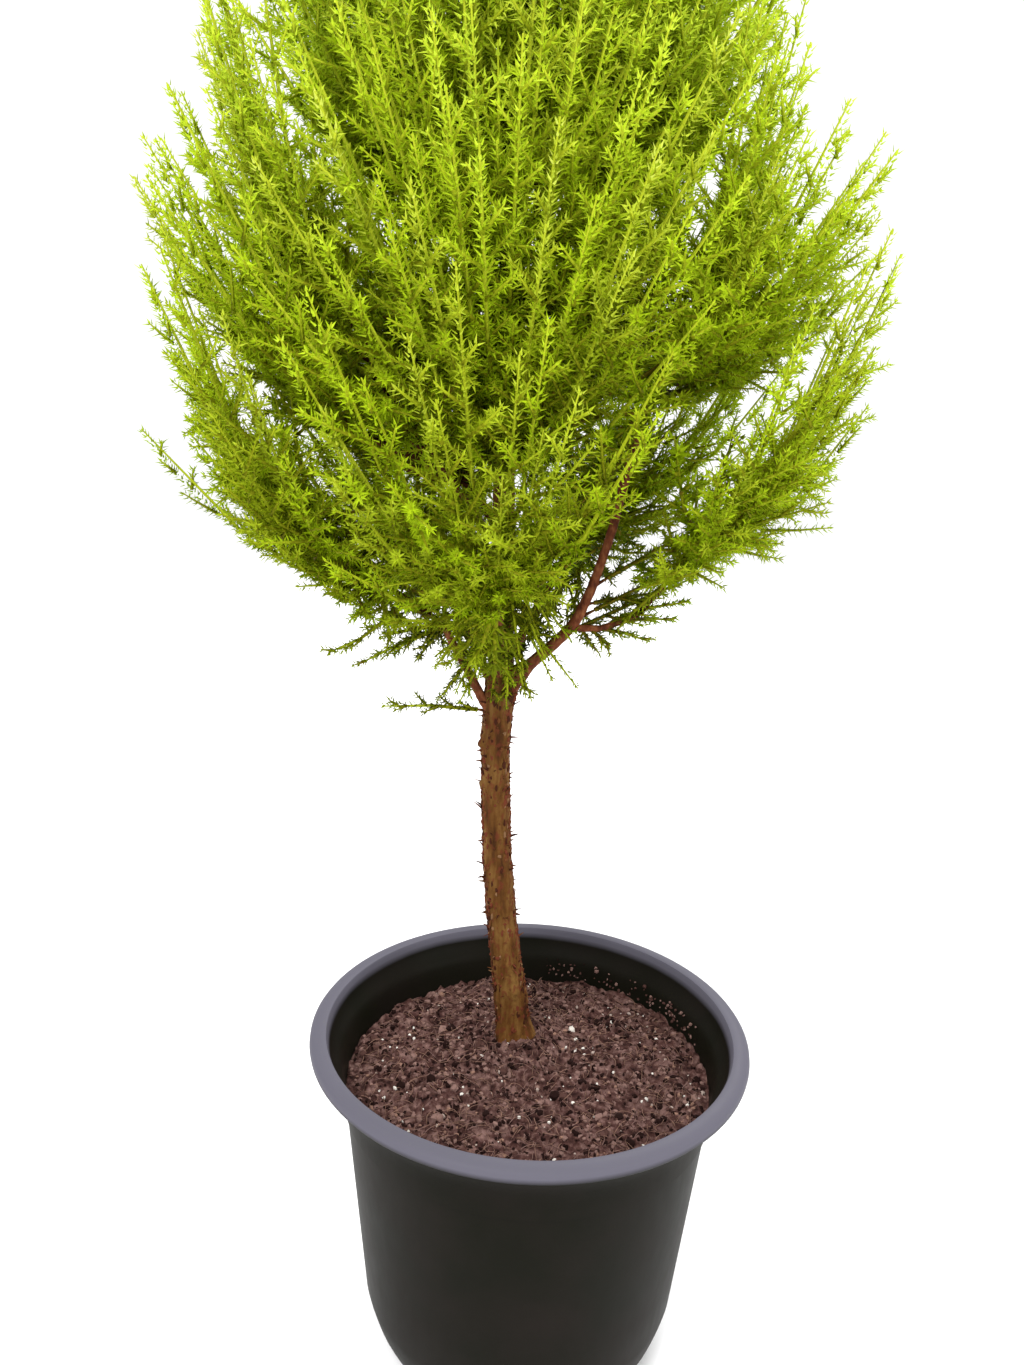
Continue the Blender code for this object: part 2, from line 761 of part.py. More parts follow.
def top_targets(rng):
    """The tips of the plumes of the top mass: one upright in the middle, the rest on a spiral round it."""
    count = PLUMES["top"]
    highest = CROWN_TOP - TOP_TIP_DROP
    yield on_crown(0, 0, highest), 0.9, 0.0
    for index in range(count):
        climb = (index + 0.5) / count
        turn = index * math.radians(137.5) + rng.uniform(-0.2, 0.2)
        z = highest - TOP_SPREAD * (1 - climb)
        yield on_crown(turn, crown_radius(z, turn) * 0.92, z), 0.15 + 0.6 * climb, 0.16


def grow_sector_masses(trunk, carriers, limbs, finish):
    """The three tiers of masses in every sector. Each grows from its carrier's tip or from the trunk."""
    for number, tier in enumerate(TIERS):
        (low, low_slope), (high, high_slope) = FLOORS[number], FLOORS[number + 1]
        for order, (sector, (degrees, lift)) in enumerate(SECTORS.items()):
            name = f"{tier}_{sector}"
            turn = math.radians(degrees)
            stem_tip = tip_on_crown(
                turn, turn, (max(low, LOWEST_TIP) + high) / 2 + lift, (low_slope + high_slope) / 2, STEM_REACH
            )
            if name in carriers:
                place, way = carriers[name].tip()
                root, carrier = place + way * LIMB_GAP, None
            else:
                z = low + lift + STEM_RISE[tier] + STEM_STAGGER * (order * 2 % 3)
                root, carrier, way = trunk.at_height(z), trunk, None
            others = [limb for limb in limbs if limb is not carriers.get(name)]
            grow_mass(
                name, tier, sector_cell(sector, number), root, way, carrier, stem_tip,
                sector_targets(name, sector, number), others, finish,
            )


def grow_top(trunk, limbs, finish):
    place, way = trunk.tip()
    others = [limb for limb in limbs if limb is not trunk]
    stem_tip = on_crown(0, 0, CROWN_TOP - TOP_STEM_DROP)
    root = place + way * LIMB_GAP
    grow_mass("top", "top", top_cell(), root, way, None, stem_tip, top_targets, others, finish)


def main():
    for old in list(bpy.data.objects):
        bpy.data.objects.remove(old)
    plastic = material("pot_plastic", (0.018, 0.020, 0.022), 0.38)
    mix = material("potting_mix", (0.035, 0.020, 0.015), 0.95)
    bark = material("bark", (0.16, 0.075, 0.03), 0.85)
    needles = material("needles", (0.34, 0.50, 0.03), 0.6)

    make_pot(plastic)
    make_soil(mix)

    trunk = Limb(TRUNK_LINE, TRUNK_RINGS)
    right = Limb(RIGHT_BOUGH, BOUGH_RINGS["right"])
    left = Limb(LEFT_BOUGH, BOUGH_RINGS["left"])
    low_right = Limb(LOW_RIGHT_BRANCH, BOUGH_RINGS["low_right"])
    hidden = {side: hidden_bough(trunk, *numbers) for side, numbers in HIDDEN_BOUGHS.items()}
    make_trunk(trunk, bark)
    make_bough("right_bough", right, trunk, bark)
    make_bough("left_bough", left, trunk, bark)
    make_bough("low_right_bough", low_right, right, bark)
    for side, bough in hidden.items():
        make_bough(f"{side}_bough", bough, trunk, bark)

    limbs = [trunk, right, left, low_right, *hidden.values()]
    carriers = {f"low_{side}": bough for side, bough in hidden.items()}
    carriers.update({"low_left": left, "low_right": low_right, "middle_right": right})
    grow_sector_masses(trunk, carriers, limbs, needles)
    grow_top(trunk, limbs, needles)


main()
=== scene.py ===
"""The looks of a lemon cypress standard in its pot: feathery crown, scaly stem, peat mix, satin plastic."""

import math
import random

import bmesh
import bpy
import numpy as np
from mathutils import Matrix, Vector, noise


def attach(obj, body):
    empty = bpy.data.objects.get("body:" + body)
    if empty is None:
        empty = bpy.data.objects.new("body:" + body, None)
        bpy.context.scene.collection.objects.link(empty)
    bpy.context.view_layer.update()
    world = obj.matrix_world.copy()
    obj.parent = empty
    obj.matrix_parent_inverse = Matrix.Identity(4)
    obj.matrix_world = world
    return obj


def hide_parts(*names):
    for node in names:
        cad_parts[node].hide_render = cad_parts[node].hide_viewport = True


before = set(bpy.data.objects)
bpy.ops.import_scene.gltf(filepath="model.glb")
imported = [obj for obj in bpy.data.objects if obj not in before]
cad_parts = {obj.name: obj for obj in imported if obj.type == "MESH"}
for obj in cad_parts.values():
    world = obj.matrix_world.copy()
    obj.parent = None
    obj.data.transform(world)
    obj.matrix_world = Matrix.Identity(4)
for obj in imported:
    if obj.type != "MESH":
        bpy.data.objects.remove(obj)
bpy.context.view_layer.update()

SEED = 11
UP = Vector((0, 0, 1))

# Camera, solved from the ellipse of the pot's rim
CAMERA_PLACE = Vector((-0.01187, -0.34913, 0.34831))
CAMERA_PITCH = 0.24041447
CAMERA_ROLL = 0.04002303
CAMERA_LENS = 27.03

# Pot
POT_HEIGHT = 0.130
RIM_RADIUS = 0.0825
BASE_RADIUS = 0.050
FLOOR = 0.0020
WALL = 0.0013
WALL_FOOT = (0.0612, 0.022)
WALL_STEP = (0.0690, 0.1009)
STEP_OUT = 0.0008
FLARE_START = 0.1130
SHELF = 0.1190
LIP_UNDER = 0.1246
POT_SIDES = 144
DRAINS = 5
DRAIN_RADIUS = 0.0045
DRAIN_RING = 0.041

# Potting mix
SOIL_EDGE = 0.1075
SOIL_CENTRE = 0.1120
SOIL_BOTTOM = 0.0950
TRUNK_FOOT = Vector((-0.0055, 0.019, 0.1123))
MOUND_RADIUS = 0.062
SOIL_CLIMB = 0.0035
# How fine its lumps and its crumbs are, and how far they stand out
SOIL_LUMPS = (95, 0.0023)
SOIL_CRUMBS = (360, 0.0016)
# How wide and how high the mix is drawn up round the stem
SOIL_COLLAR = (0.0105, 0.0030)
CRUMBS = 3600
CRUMBS_ON_WALL = 110
PERLITE = 170
LARGEST_PERLITE = (0.0185, 0.0260)
FIBRES = 1500

# Trunk and boughs: x, y, z and radius along their middles
TRUNK_LINE = (
    (-0.0055, 0.019, 0.1123, 0.0070),
    (-0.0065, 0.019, 0.1210, 0.0066),
    (-0.0082, 0.019, 0.1340, 0.0062),
    (-0.0104, 0.019, 0.1492, 0.0058),
    (-0.0130, 0.019, 0.1700, 0.0056),
    (-0.0151, 0.019, 0.1914, 0.0054),
    (-0.0166, 0.019, 0.2198, 0.0052),
    (-0.0171, 0.019, 0.2380, 0.0053),
    (-0.0164, 0.019, 0.2530, 0.0054),
    (-0.0163, 0.019, 0.2750, 0.0044),
    (-0.0175, 0.020, 0.3300, 0.0038),
    (-0.0188, 0.019, 0.4000, 0.0031),
    (-0.0190, 0.019, 0.4600, 0.0025),
    (-0.0190, 0.019, 0.4950, 0.0017),
)
RIGHT_BOUGH = (
    (-0.0140, 0.0185, 0.2550, 0.0029),
    (-0.0100, 0.0180, 0.2594, 0.0027),
    (-0.0052, 0.0180, 0.2658, 0.0022),
    (0.0012, 0.0180, 0.2718, 0.0021),
    (0.0092, 0.0185, 0.2806, 0.0020),
    (0.0134, 0.0185, 0.2889, 0.0018),
    (0.0170, 0.0190, 0.2990, 0.0017),
    (0.0206, 0.0190, 0.3115, 0.0016),
    (0.0226, 0.0190, 0.3200, 0.0016),
    (0.0255, 0.0195, 0.3350, 0.0016),
    (0.0292, 0.0200, 0.3504, 0.0015),
)
LEFT_BOUGH = (
    (-0.0195, 0.0178, 0.2470, 0.0019),
    (-0.0222, 0.0175, 0.2512, 0.0018),
    (-0.0250, 0.0172, 0.2565, 0.0017),
    (-0.0290, 0.0170, 0.2640, 0.0016),
    (-0.0332, 0.0170, 0.2707, 0.0015),
    (-0.0370, 0.0165, 0.2790, 0.0014),
)
LOW_RIGHT_BRANCH = (
    (0.0088, 0.0187, 0.2796, 0.0013),
    (0.0155, 0.0190, 0.2795, 0.0012),
    (0.0215, 0.0195, 0.2802, 0.0012),
    (0.0333, 0.0205, 0.2854, 0.0012),
)
HIDDEN_BOUGHS = {
    "back_right": (54, 0.2640),
    "back_left": (126, 0.2530),
    "front": (268, 0.2600),
}
HIDDEN_REACH = 0.028
HIDDEN_RISE = 0.027
HIDDEN_RADII = (0.0019, 0.0014)

# Bark: the large knots' places on the skin, their sizes and how far they stand out
KNOTS = (
    (-0.0220, 0.0170, 0.2345, 0.0045, 0.0014),
    (-0.0215, 0.0170, 0.2190, 0.0040, 0.0013),
    (-0.0080, 0.0160, 0.1800, 0.0035, 0.0012),
    (-0.0060, 0.0130, 0.1340, 0.0030, 0.0010),
    (-0.0005, 0.0160, 0.1300, 0.0040, 0.0012),
)
# The bare stem as the scars follow it: how tall it is, how far it leans and how early, and its radius
STEM_LEAN = (0.14, 0.0115, 0.8)
STEM_RADIUS = 0.0056
SCARS = 46
SCARRED = (0.118, 0.262)
SCAR_SIZES = (0.0014, 0.0030)
SCAR_RISES = (0.0003, 0.0009)
# Loose scales: half their width, height and thickness, and how many are dark, red, plain and pale
FLAKES = 1300
FLAKED = (0.1150, 0.2640)
FLAKE_SIZES = ((0.0003, 0.0009), (0.0005, 0.0018), (0.0002, 0.0007))
FLAKE_SHARES = (0.28, 0.44, 0.20, 0.08)
FLAKE_SCATTER = 0.55
# The rough scales at the fork
FORK_FLAKES = 36
FORK_FLAKED = (0.2510, 0.2640)
FORK_FLAKE_SIZES = (0.0008, 0.0020)
LEAF_STUBS = 170
STUB_LENGTH = (0.0018, 0.0042)
# How far a bough's foot runs on into the limb that carries it
RUN_ON = 0.004
BRANCH_RUN_ON = 0.001

# Outline of the crown, as in the part's source
CROWN_AXIS = Vector((-0.0190, 0.0190, 0))
CROWN_FOOT = 0.252
CROWN_WIDEST = 0.395
CROWN_TOP = 0.583
CROWN_RADIUS = 0.114
ROUND_BELOW = (2.3, 0.88)
ROUND_ABOVE = (1.7, 0.6)
LUMPS = 0.035
# Places where the crown stands further out or in: turn, height, how far, and how tall and how wide
SWELLS = (
    (0, 0.400, 0.019, 0.036, 42), (180, 0.429, 0.018, 0.016, 36),
    (180, 0.393, 0.007, 0.014, 36), (180, 0.458, -0.010, 0.010, 36),
    (180, 0.498, 0.005, 0.030, 50), (0, 0.463, -0.018, 0.014, 42),
    (0, 0.308, -0.014, 0.020, 48), (180, 0.295, -0.006, 0.014, 45),
)
# Plumes that stand out past the rest: the way each points in degrees, its height and its reach
WISPS = (
    (180, 0.344, 0.126), (186, 0.268, 0.060), (178, 0.424, 0.126),
    (2, 0.362, 0.128), (-3, 0.446, 0.120), (3, 0.412, 0.134),
    (6, 0.336, 0.106), (10, 0.590, 0.003), (200, 0.586, 0.012),
)
SECTORS = {
    "right": (342, 0.000),
    "back_right": (54, 0.006),
    "back_left": (126, -0.005),
    "left": (198, 0.004),
    "front": (270, -0.004),
}
FLOORS = ((0.198, 0.80), (0.290, 1.00), (0.372, 1.20), (0.452, 1.70))
LOWEST_TIP = 0.224
TIERS = ("low", "middle", "upper")
STEM_RISE = {"middle": 0.012, "upper": 0.014}
STEM_STAGGER = 0.011
STEM_RADII = {"low": 0.0012, "middle": 0.0015, "upper": 0.0014, "top": 0.0013}
STEM_REACH = 0.66
STEM_SAG = 0.10
TOP_STEM_DROP = 0.022

# Small plumes that hang over the top of the stem, in a fan from its left to its right: how many, and their
# turns, reaches and tips' heights
HANGING_FAN = (34, (182, 350), (0.010, 0.034), (0.249, 0.290))
# How much each kind of small plume arches, and how much lighter it is than the foliage round it
FAN_ARCH = 0.34
FAN_LIGHT = (-0.04, 0.16)
LEFT_LOOK = (0.05, -0.10)
LOWEST_LOOK = (0.06, -0.05)
BRANCH_LOOK = (0.12, -0.14)
BEHIND_LOOK = (0.02, -0.16)
# The stations that the branch's and the bough's sprigs start from: the first, and the step to the next
BRANCH_STATIONS = (4, 2)
BOUGH_STATIONS = (22, 4)
# The ones that the left bough, the low branch and the back of the right bough carry
LEFT_SPRIGS = (
    (-0.0690, 0.0190, 0.2624), (-0.0560, 0.0140, 0.2690),
    (-0.0620, 0.0240, 0.2720), (-0.0480, 0.0220, 0.2640),
)
LOWEST_SPRIG = (-0.0600, 0.0190, 0.2470)
LOW_BRANCH_SPRIGS = (
    (0.0170, 0.0210, 0.2725), (0.0240, 0.0200, 0.2728), (0.0382, 0.0210, 0.2750),
    (0.0520, 0.0215, 0.2905), (0.0470, 0.0240, 0.2830),
)
BEHIND_BOUGH = (
    (0.0560, 0.0300, 0.2990), (0.0670, 0.0290, 0.3110), (0.0450, 0.0340, 0.2920),
    (0.0620, 0.0250, 0.3220), (0.0230, 0.0370, 0.2960), (0.0060, 0.0360, 0.2980),
    (0.0330, 0.0380, 0.3080),
)

# Plumes: how many tips the outline gets, how many reach less far, and the shoots and needles on each
OUTER_TIPS = 660
OUTER_REACH = (0.90, 1.01)
# How much deeper the crown is, front to back, than the rule of its outline
DEPTH = 1.05
# Inner tips: how many, how far out they reach, and how much darker they are painted, as shade inside the
# crown
INNER_TIPS = ((240, (0.58, 0.82), 0.04), (300, (0.16, 0.52), 0.10))
INNER_SIZE = 1.6
DENSER_TOP = 0.9
PLUME_LENGTH = (0.080, 0.115)
SHOOT_SPACING = 0.0088
SHOOT_LENGTH = 0.031
SHOOT_ANGLES = (44, 64)
TWIGLET_FROM = 0.0190
TWIGLET_SHARE = 0.42
TWIGLETS = ((0.40, 1), (0.66, -1))
STALK_RADIUS = 0.0009
AXIS_RADIUS = 0.0010
SHOOT_RADIUS = 0.00072
SHORTEST_SHOOT = 0.0055
# The least bare share of a plume, and how far its stalk laps the leafy part
LEAST_BARE = 0.08
STALK_LAP = 0.06
WHORL_SPACING = 0.0019
NEEDLES_IN_WHORL = 4
NEEDLE_LENGTH = 0.0025
NEEDLE_WIDTH = 0.00085
SHADES = 8
GOLDEN_TURN = math.radians(137.508)


# Socket maths

class Value:
    """A socket, or a number, that builds Math nodes as it is reckoned with."""

    def __init__(self, tree, socket):
        self.tree = tree
        self.socket = socket

    def _math(self, operation, *values):
        node = self.tree.nodes.new("ShaderNodeMath")
        node.operation = operation
        for place, value in zip(node.inputs, values):
            if isinstance(value, Value):
                self.tree.links.new(value.socket, place)
            else:
                place.default_value = value
        return Value(self.tree, node.outputs[0])

    def __add__(self, other):
        return self._math("ADD", self, other)

    __radd__ = __add__

    def __sub__(self, other):
        return self._math("SUBTRACT", self, other)

    def __mul__(self, other):
        return self._math("MULTIPLY", self, other)

    def clamped(self):
        made = self._math("ADD", self, 0.0)
        made.socket.node.use_clamp = True
        return made

    def output(self, name, number):
        """Another output of the same node, by its name and its place among those of that name."""
        found = [socket for socket in self.socket.node.outputs if socket.name == name]
        return Value(self.tree, found[number])


class Finish:
    """A material with one Principled shader, and the nodes that feed it."""

    def __init__(self, name, colour, roughness, **constants):
        self.material = bpy.data.materials.new(name)
        self.material.use_nodes = True
        self.tree = self.material.node_tree
        self.shader = self.tree.nodes["Principled BSDF"]
        self.shader.inputs["Base Color"].default_value = (*colour, 1)
        self.shader.inputs["Roughness"].default_value = roughness
        self.material.diffuse_color = (*colour, 1)
        for socket, value in constants.items():
            self.shader.inputs[socket.replace("_", " ")].default_value = value

    def node(self, kind, settings=(), **sockets):
        """A node: its settings come first, then its sockets' values or links. Gives its first output."""
        made = self.tree.nodes.new(kind)
        for setting, value in dict(settings).items():
            if setting == "stops":
                ramp = made.color_ramp
                while len(ramp.elements) < len(value):
                    ramp.elements.new(0.5)
                for element, (place, colour) in zip(ramp.elements, value):
                    element.position = place
                    element.color = (*colour, 1)
            else:
                setattr(made, setting, value)
        for socket, value in sockets.items():
            place = made.inputs[int(socket[1:]) if socket[0] == "_" else socket.replace("_", " ")]
            if isinstance(value, Value):
                self.tree.links.new(value.socket, place)
            else:
                place.default_value = value
        return Value(self.tree, made.outputs[0])

    def place(self, scale=(1, 1, 1)):
        """The object's own coordinates, stretched."""
        coordinates = self.node("ShaderNodeTexCoord").output("Object", 0)
        return self.node("ShaderNodeMapping", Vector=coordinates, Scale=scale)

    def noise(self, size, detail, stretch=(1, 1, 1)):
        """Noise as fine as the given size in metres."""
        return self.node(
            "ShaderNodeTexNoise", Vector=self.place(stretch), Scale=1 / size, Detail=detail, Roughness=0.55
        )

    def height(self):
        """How high up the object a point is, in metres."""
        return self.node("ShaderNodeSeparateXYZ", Vector=self.place()).output("Z", 0)

    def ramp(self, value, *stops):
        return self.node("ShaderNodeValToRGB", {"stops": stops}, Fac=value)

    def mix(self, share, a, b):
        return self.node(
            "ShaderNodeMix", {"data_type": "RGBA"}, _0=share,
            _6=a if isinstance(a, Value) else (*a, 1), _7=b if isinstance(b, Value) else (*b, 1),
        ).output("Result", 2)

    def colour(self, value):
        self.tree.links.new(value.socket, self.shader.inputs["Base Color"])

    def rough(self, value):
        self.tree.links.new(value.socket, self.shader.inputs["Roughness"])

    def bump(self, height, strength, distance):
        made = self.node("ShaderNodeBump", Height=height, Strength=strength, Distance=distance)
        self.tree.links.new(made.socket, self.shader.inputs["Normal"])


# Finishes

def pot_plastic():
    """Charcoal plastic with a satin skin, and a lip painted paler and bluer: a painted reflection of the
    sky, with some real scuffs and dust.
    """
    made = Finish("pot_plastic", (0.006, 0.006, 0.005), 0.40, Specular_IOR_Level=0.035)
    clouds = made.noise(0.035, 3)
    dust = made.noise(0.004, 6, (1, 1, 0.35))
    body = made.ramp(clouds, (0.35, (0.0060, 0.0058, 0.0034)), (0.7, (0.0100, 0.0078, 0.0060)))
    height = made.height()
    # The lip's mask: above the lip's underside the colour turns paler and bluer, a painted reflection of
    # the sky along with some scuffs and dust.
    lip = made.ramp((height - 0.1250) * 280.0 + clouds * 0.3, (0.15, (0, 0, 0)), (0.85, (1, 1, 1)))
    made.colour(made.mix(lip * 0.9, body, (0.110, 0.105, 0.132)))
    made.rough((0.34 + clouds * 0.12 + dust * 0.10).clamped())
    made.bump(made.noise(0.0009, 2), 0.08, 0.0002)
    return made.material


def peat():
    made = Finish("peat", (0.04, 0.02, 0.014), 0.95, Specular_IOR_Level=0.08)
    lumps = made.noise(0.0034, 8)
    made.colour(made.ramp(
        lumps, (0.28, (0.006, 0.002, 0.002)), (0.47, (0.060, 0.026, 0.022)), (0.70, (0.200, 0.115, 0.100))
    ))
    made.bump(made.noise(0.0009, 6), 0.8, 0.0008)
    return made.material


def plain(name, colour, roughness, **constants):
    return Finish(name, colour, roughness, **constants).material


def bark():
    made = Finish("bark", (0.12, 0.05, 0.015), 0.85, Specular_IOR_Level=0.12)
    streaks = made.noise(0.0036, 6, (1, 1, 0.22))
    flakes = made.noise(0.0018, 5, (1, 1, 0.6))
    base = made.ramp(
        streaks, (0.32, (0.042, 0.014, 0.003)), (0.48, (0.095, 0.037, 0.007)), (0.66, (0.170, 0.085, 0.022))
    )
    red = made.ramp(flakes, (0.54, (0, 0, 0)), (0.62, (1, 1, 1)))
    made.colour(made.mix(red * 0.65, base, (0.110, 0.024, 0.010)))
    made.bump(streaks + flakes * 0.8, 0.9, 0.0006)
    return made.material


def young_bark():
    made = Finish("young_bark", (0.15, 0.05, 0.02), 0.75, Specular_IOR_Level=0.12)
    streaks = made.noise(0.0022, 5, (1, 1, 0.5))
    made.colour(made.ramp(
        streaks, (0.32, (0.050, 0.012, 0.005)), (0.50, (0.135, 0.036, 0.013)), (0.68, (0.230, 0.085, 0.032))
    ))
    made.bump(streaks, 0.8, 0.0005)
    return made.material


# Needle ladders from dark to light. The place in the crown picks the step, so the dark steps are painted
# shade inside and low down, and the light ones are painted light outside and on top.
FRESH_COLOURS = (
    (0.034, 0.058, 0.001), (0.070, 0.108, 0.001), (0.120, 0.178, 0.001), (0.185, 0.268, 0.002),
    (0.265, 0.368, 0.005), (0.345, 0.470, 0.008), (0.430, 0.565, 0.018), (0.530, 0.670, 0.040),
)
OLIVE_COLOURS = (
    (0.042, 0.052, 0.002), (0.082, 0.104, 0.002), (0.135, 0.172, 0.003), (0.200, 0.255, 0.004),
    (0.275, 0.350, 0.007), (0.355, 0.440, 0.016), (0.445, 0.530, 0.036), (0.560, 0.640, 0.085),
)
# Twigs from woody brown to green. In the crown, the step follows the same painted shade.
TWIG_COLOURS = (
    (0.070, 0.022, 0.008), (0.130, 0.055, 0.012), (0.165, 0.130, 0.008),
    (0.215, 0.230, 0.006), (0.300, 0.350, 0.010), (0.400, 0.460, 0.020),
)


def graded(name, colours, roughness, **constants):
    """A finish for each colour of a ladder, from the darkest to the lightest."""
    return [plain(f"{name}_{step}", shade, roughness, **constants) for step, shade in enumerate(colours, 1)]


# Meshes

def shown(name, mesh, finishes, slot, *nodes):
    """Puts a mesh in the scene as a piece of the plant's one body, in place of the named nodes."""
    made = bpy.data.objects.new(name, mesh)
    bpy.context.scene.collection.objects.link(made)
    for finish in finishes:
        mesh.materials.append(finish)
    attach(made, "root")
    if nodes:
        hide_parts(*nodes)
    return made


def smooth_mesh(name, bm, crease):
    bmesh.ops.recalc_face_normals(bm, faces=bm.faces)
    mesh = bpy.data.meshes.new(name)
    bm.to_mesh(mesh)
    bm.free()
    mesh.shade_smooth()
    mesh.set_sharp_from_angle(angle=math.radians(crease))
    return mesh


def array_mesh(name, corners, faces, shades, smooth):
    """A mesh of many small things from arrays: corners, triangles or quads, and each face's finish."""
    mesh = bpy.data.meshes.new(name)
    count, sides = faces.shape
    mesh.vertices.add(len(corners))
    mesh.vertices.foreach_set("co", corners.astype(np.float32).ravel())
    mesh.loops.add(count * sides)
    mesh.loops.foreach_set("vertex_index", faces.astype(np.int32).ravel())
    mesh.polygons.add(count)
    mesh.polygons.foreach_set("loop_start", np.arange(0, count * sides, sides, dtype=np.int32))
    mesh.polygons.foreach_set("material_index", shades.astype(np.int32))
    mesh.polygons.foreach_set("use_smooth", np.full(count, smooth))
    mesh.update(calc_edges=True)
    return mesh


# Pot

def pot_wall(z):
    (foot_r, foot_z), (step_r, step_z) = WALL_FOOT, WALL_STEP
    radius = foot_r + (z - foot_z) * (step_r - foot_r) / (step_z - foot_z)
    return radius + (STEP_OUT if z > step_z else 0)


def pot_inside(z):
    return pot_wall(z) - WALL - (0 if z > WALL_STEP[1] else STEP_OUT / 2)


def pot_profile():
    """Half of the pot's section, as in the part's source but with its bends rounded."""
    step = WALL_STEP[1]
    outside = [
        (BASE_RADIUS, 0),
        (BASE_RADIUS + 0.0016, 0.0005),
        (BASE_RADIUS + 0.0027, 0.0016),
        (0.0545, 0.0040),
        (0.0562, 0.0064),
        (0.0578, 0.0100),
        (0.0591, 0.0140),
        (0.0602, 0.0178),
        WALL_FOOT,
        (pot_wall(0.040), 0.040),
        (pot_wall(0.060), 0.060),
        (pot_wall(0.080), 0.080),
        (pot_wall(step - 0.0008), step - 0.0008),
        (pot_wall(step), step),
        (pot_wall(step) + STEP_OUT * 0.5, step + 0.0002),
        (pot_wall(step + 0.0006), step + 0.0006),
        (pot_wall(0.108), 0.108),
        (pot_wall(FLARE_START - 0.001), FLARE_START - 0.001),
        (0.0716, 0.1150),
        (0.0726, 0.1175),
        (0.0740, 0.1202),
        (0.0756, 0.1226),
        (0.0770, 0.1242),
        (0.0780, LIP_UNDER + 0.0006),
    ]
    lip = [
        (0.0792, LIP_UNDER + 0.0004),
        (0.0806, LIP_UNDER + 0.0001),
        (0.0817, LIP_UNDER + 0.0004),
        (0.0823, LIP_UNDER + 0.0012),
        (RIM_RADIUS, LIP_UNDER + 0.0023),
        (0.0823, POT_HEIGHT - 0.0017),
        (0.0817, POT_HEIGHT - 0.0009),
        (0.0806, POT_HEIGHT - 0.0003),
        (0.0790, POT_HEIGHT),
        (0.0775, POT_HEIGHT),
        (0.0765, POT_HEIGHT - 0.0003),
        (0.0760, POT_HEIGHT - 0.0011),
        (0.0756, LIP_UNDER + 0.0022),
    ]
    inside = [
        (0.0752, LIP_UNDER + 0.0006),
        (0.0745, 0.1235),
        (0.0733, 0.1216),
        (0.0721, SHELF + 0.0010),
        (0.0712, SHELF - 0.0002),
        (0.0705, SHELF - 0.0022),
        (pot_inside(FLARE_START), FLARE_START),
        (pot_inside(step + 0.001), step + 0.001),
        (pot_inside(0.030), 0.030),
        (0.0560, 0.0110),
        (0.0535, 0.0050),
        (0.0500, FLOOR),
    ]
    return outside + lip + inside


def turned(profile, sides):
    """The profile turned once round Z. Its two open ends are closed by flat discs."""
    bm = bmesh.new()
    corners = [bm.verts.new((radius, 0, z)) for radius, z in profile]
    edges = [bm.edges.new(pair) for pair in zip(corners, corners[1:])]
    whole = corners + edges
    bmesh.ops.spin(bm, geom=whole, cent=(0, 0, 0), axis=UP, angle=math.tau, steps=sides, use_merge=True)
    bmesh.ops.holes_fill(bm, edges=[edge for edge in bm.edges if edge.is_boundary], sides=sides)
    return bm


def applied(made):
    """Applies an object's modifiers to its mesh."""
    graph = bpy.context.evaluated_depsgraph_get()
    mesh = bpy.data.meshes.new_from_object(made.evaluated_get(graph))
    made.modifiers.clear()
    made.data = mesh


def make_pot(plastic):
    pot = shown("nursery_pot", smooth_mesh("nursery_pot", turned(pot_profile(), POT_SIDES), 30), [plastic],
                "pot_plastic", "pot")
    bm = bmesh.new()
    for index in range(DRAINS):
        turn = math.tau * (index + 0.5) / DRAINS
        place = Matrix.Translation((DRAIN_RING * math.cos(turn), DRAIN_RING * math.sin(turn), 0))
        bmesh.ops.create_cone(
            bm, cap_ends=True, segments=24, radius1=DRAIN_RADIUS, radius2=DRAIN_RADIUS, depth=FLOOR * 4,
            matrix=place,
        )
    mesh = bpy.data.meshes.new("drains")
    bm.to_mesh(mesh)
    bm.free()
    cutter = bpy.data.objects.new("drains", mesh)
    bpy.context.scene.collection.objects.link(cutter)
    holes = pot.modifiers.new("drains", "BOOLEAN")
    holes.operation = "DIFFERENCE"
    holes.object = cutter
    applied(pot)
    bpy.data.objects.remove(cutter)


# Potting mix

def soil_height(x, y):
    """The mounded, crumbly top of the mix. It climbs the wall a little at the right and the back."""
    away = math.hypot(x - TRUNK_FOOT.x, y - TRUNK_FOOT.y)
    rise = SOIL_CENTRE - (SOIL_CENTRE - SOIL_EDGE) * min(1.0, away / MOUND_RADIUS)
    side = max(0.0, x * 0.8 + y * 0.35) / 0.066
    rise += SOIL_CLIMB * side**2
    place = Vector((x, y, 0.3))
    fine, depth = SOIL_LUMPS
    rise += noise.fractal(place * fine, 1.0, 2.1, 5) * depth
    fine, depth = SOIL_CRUMBS
    rise += noise.fractal(place * fine + Vector((7, 3, 1)), 0.8, 2.0, 4) * depth
    wide, high = SOIL_COLLAR
    return rise + high * math.exp(-((away / wide) ** 2))


def soil_radius(z):
    return pot_inside(min(z, FLARE_START)) - 0.0002


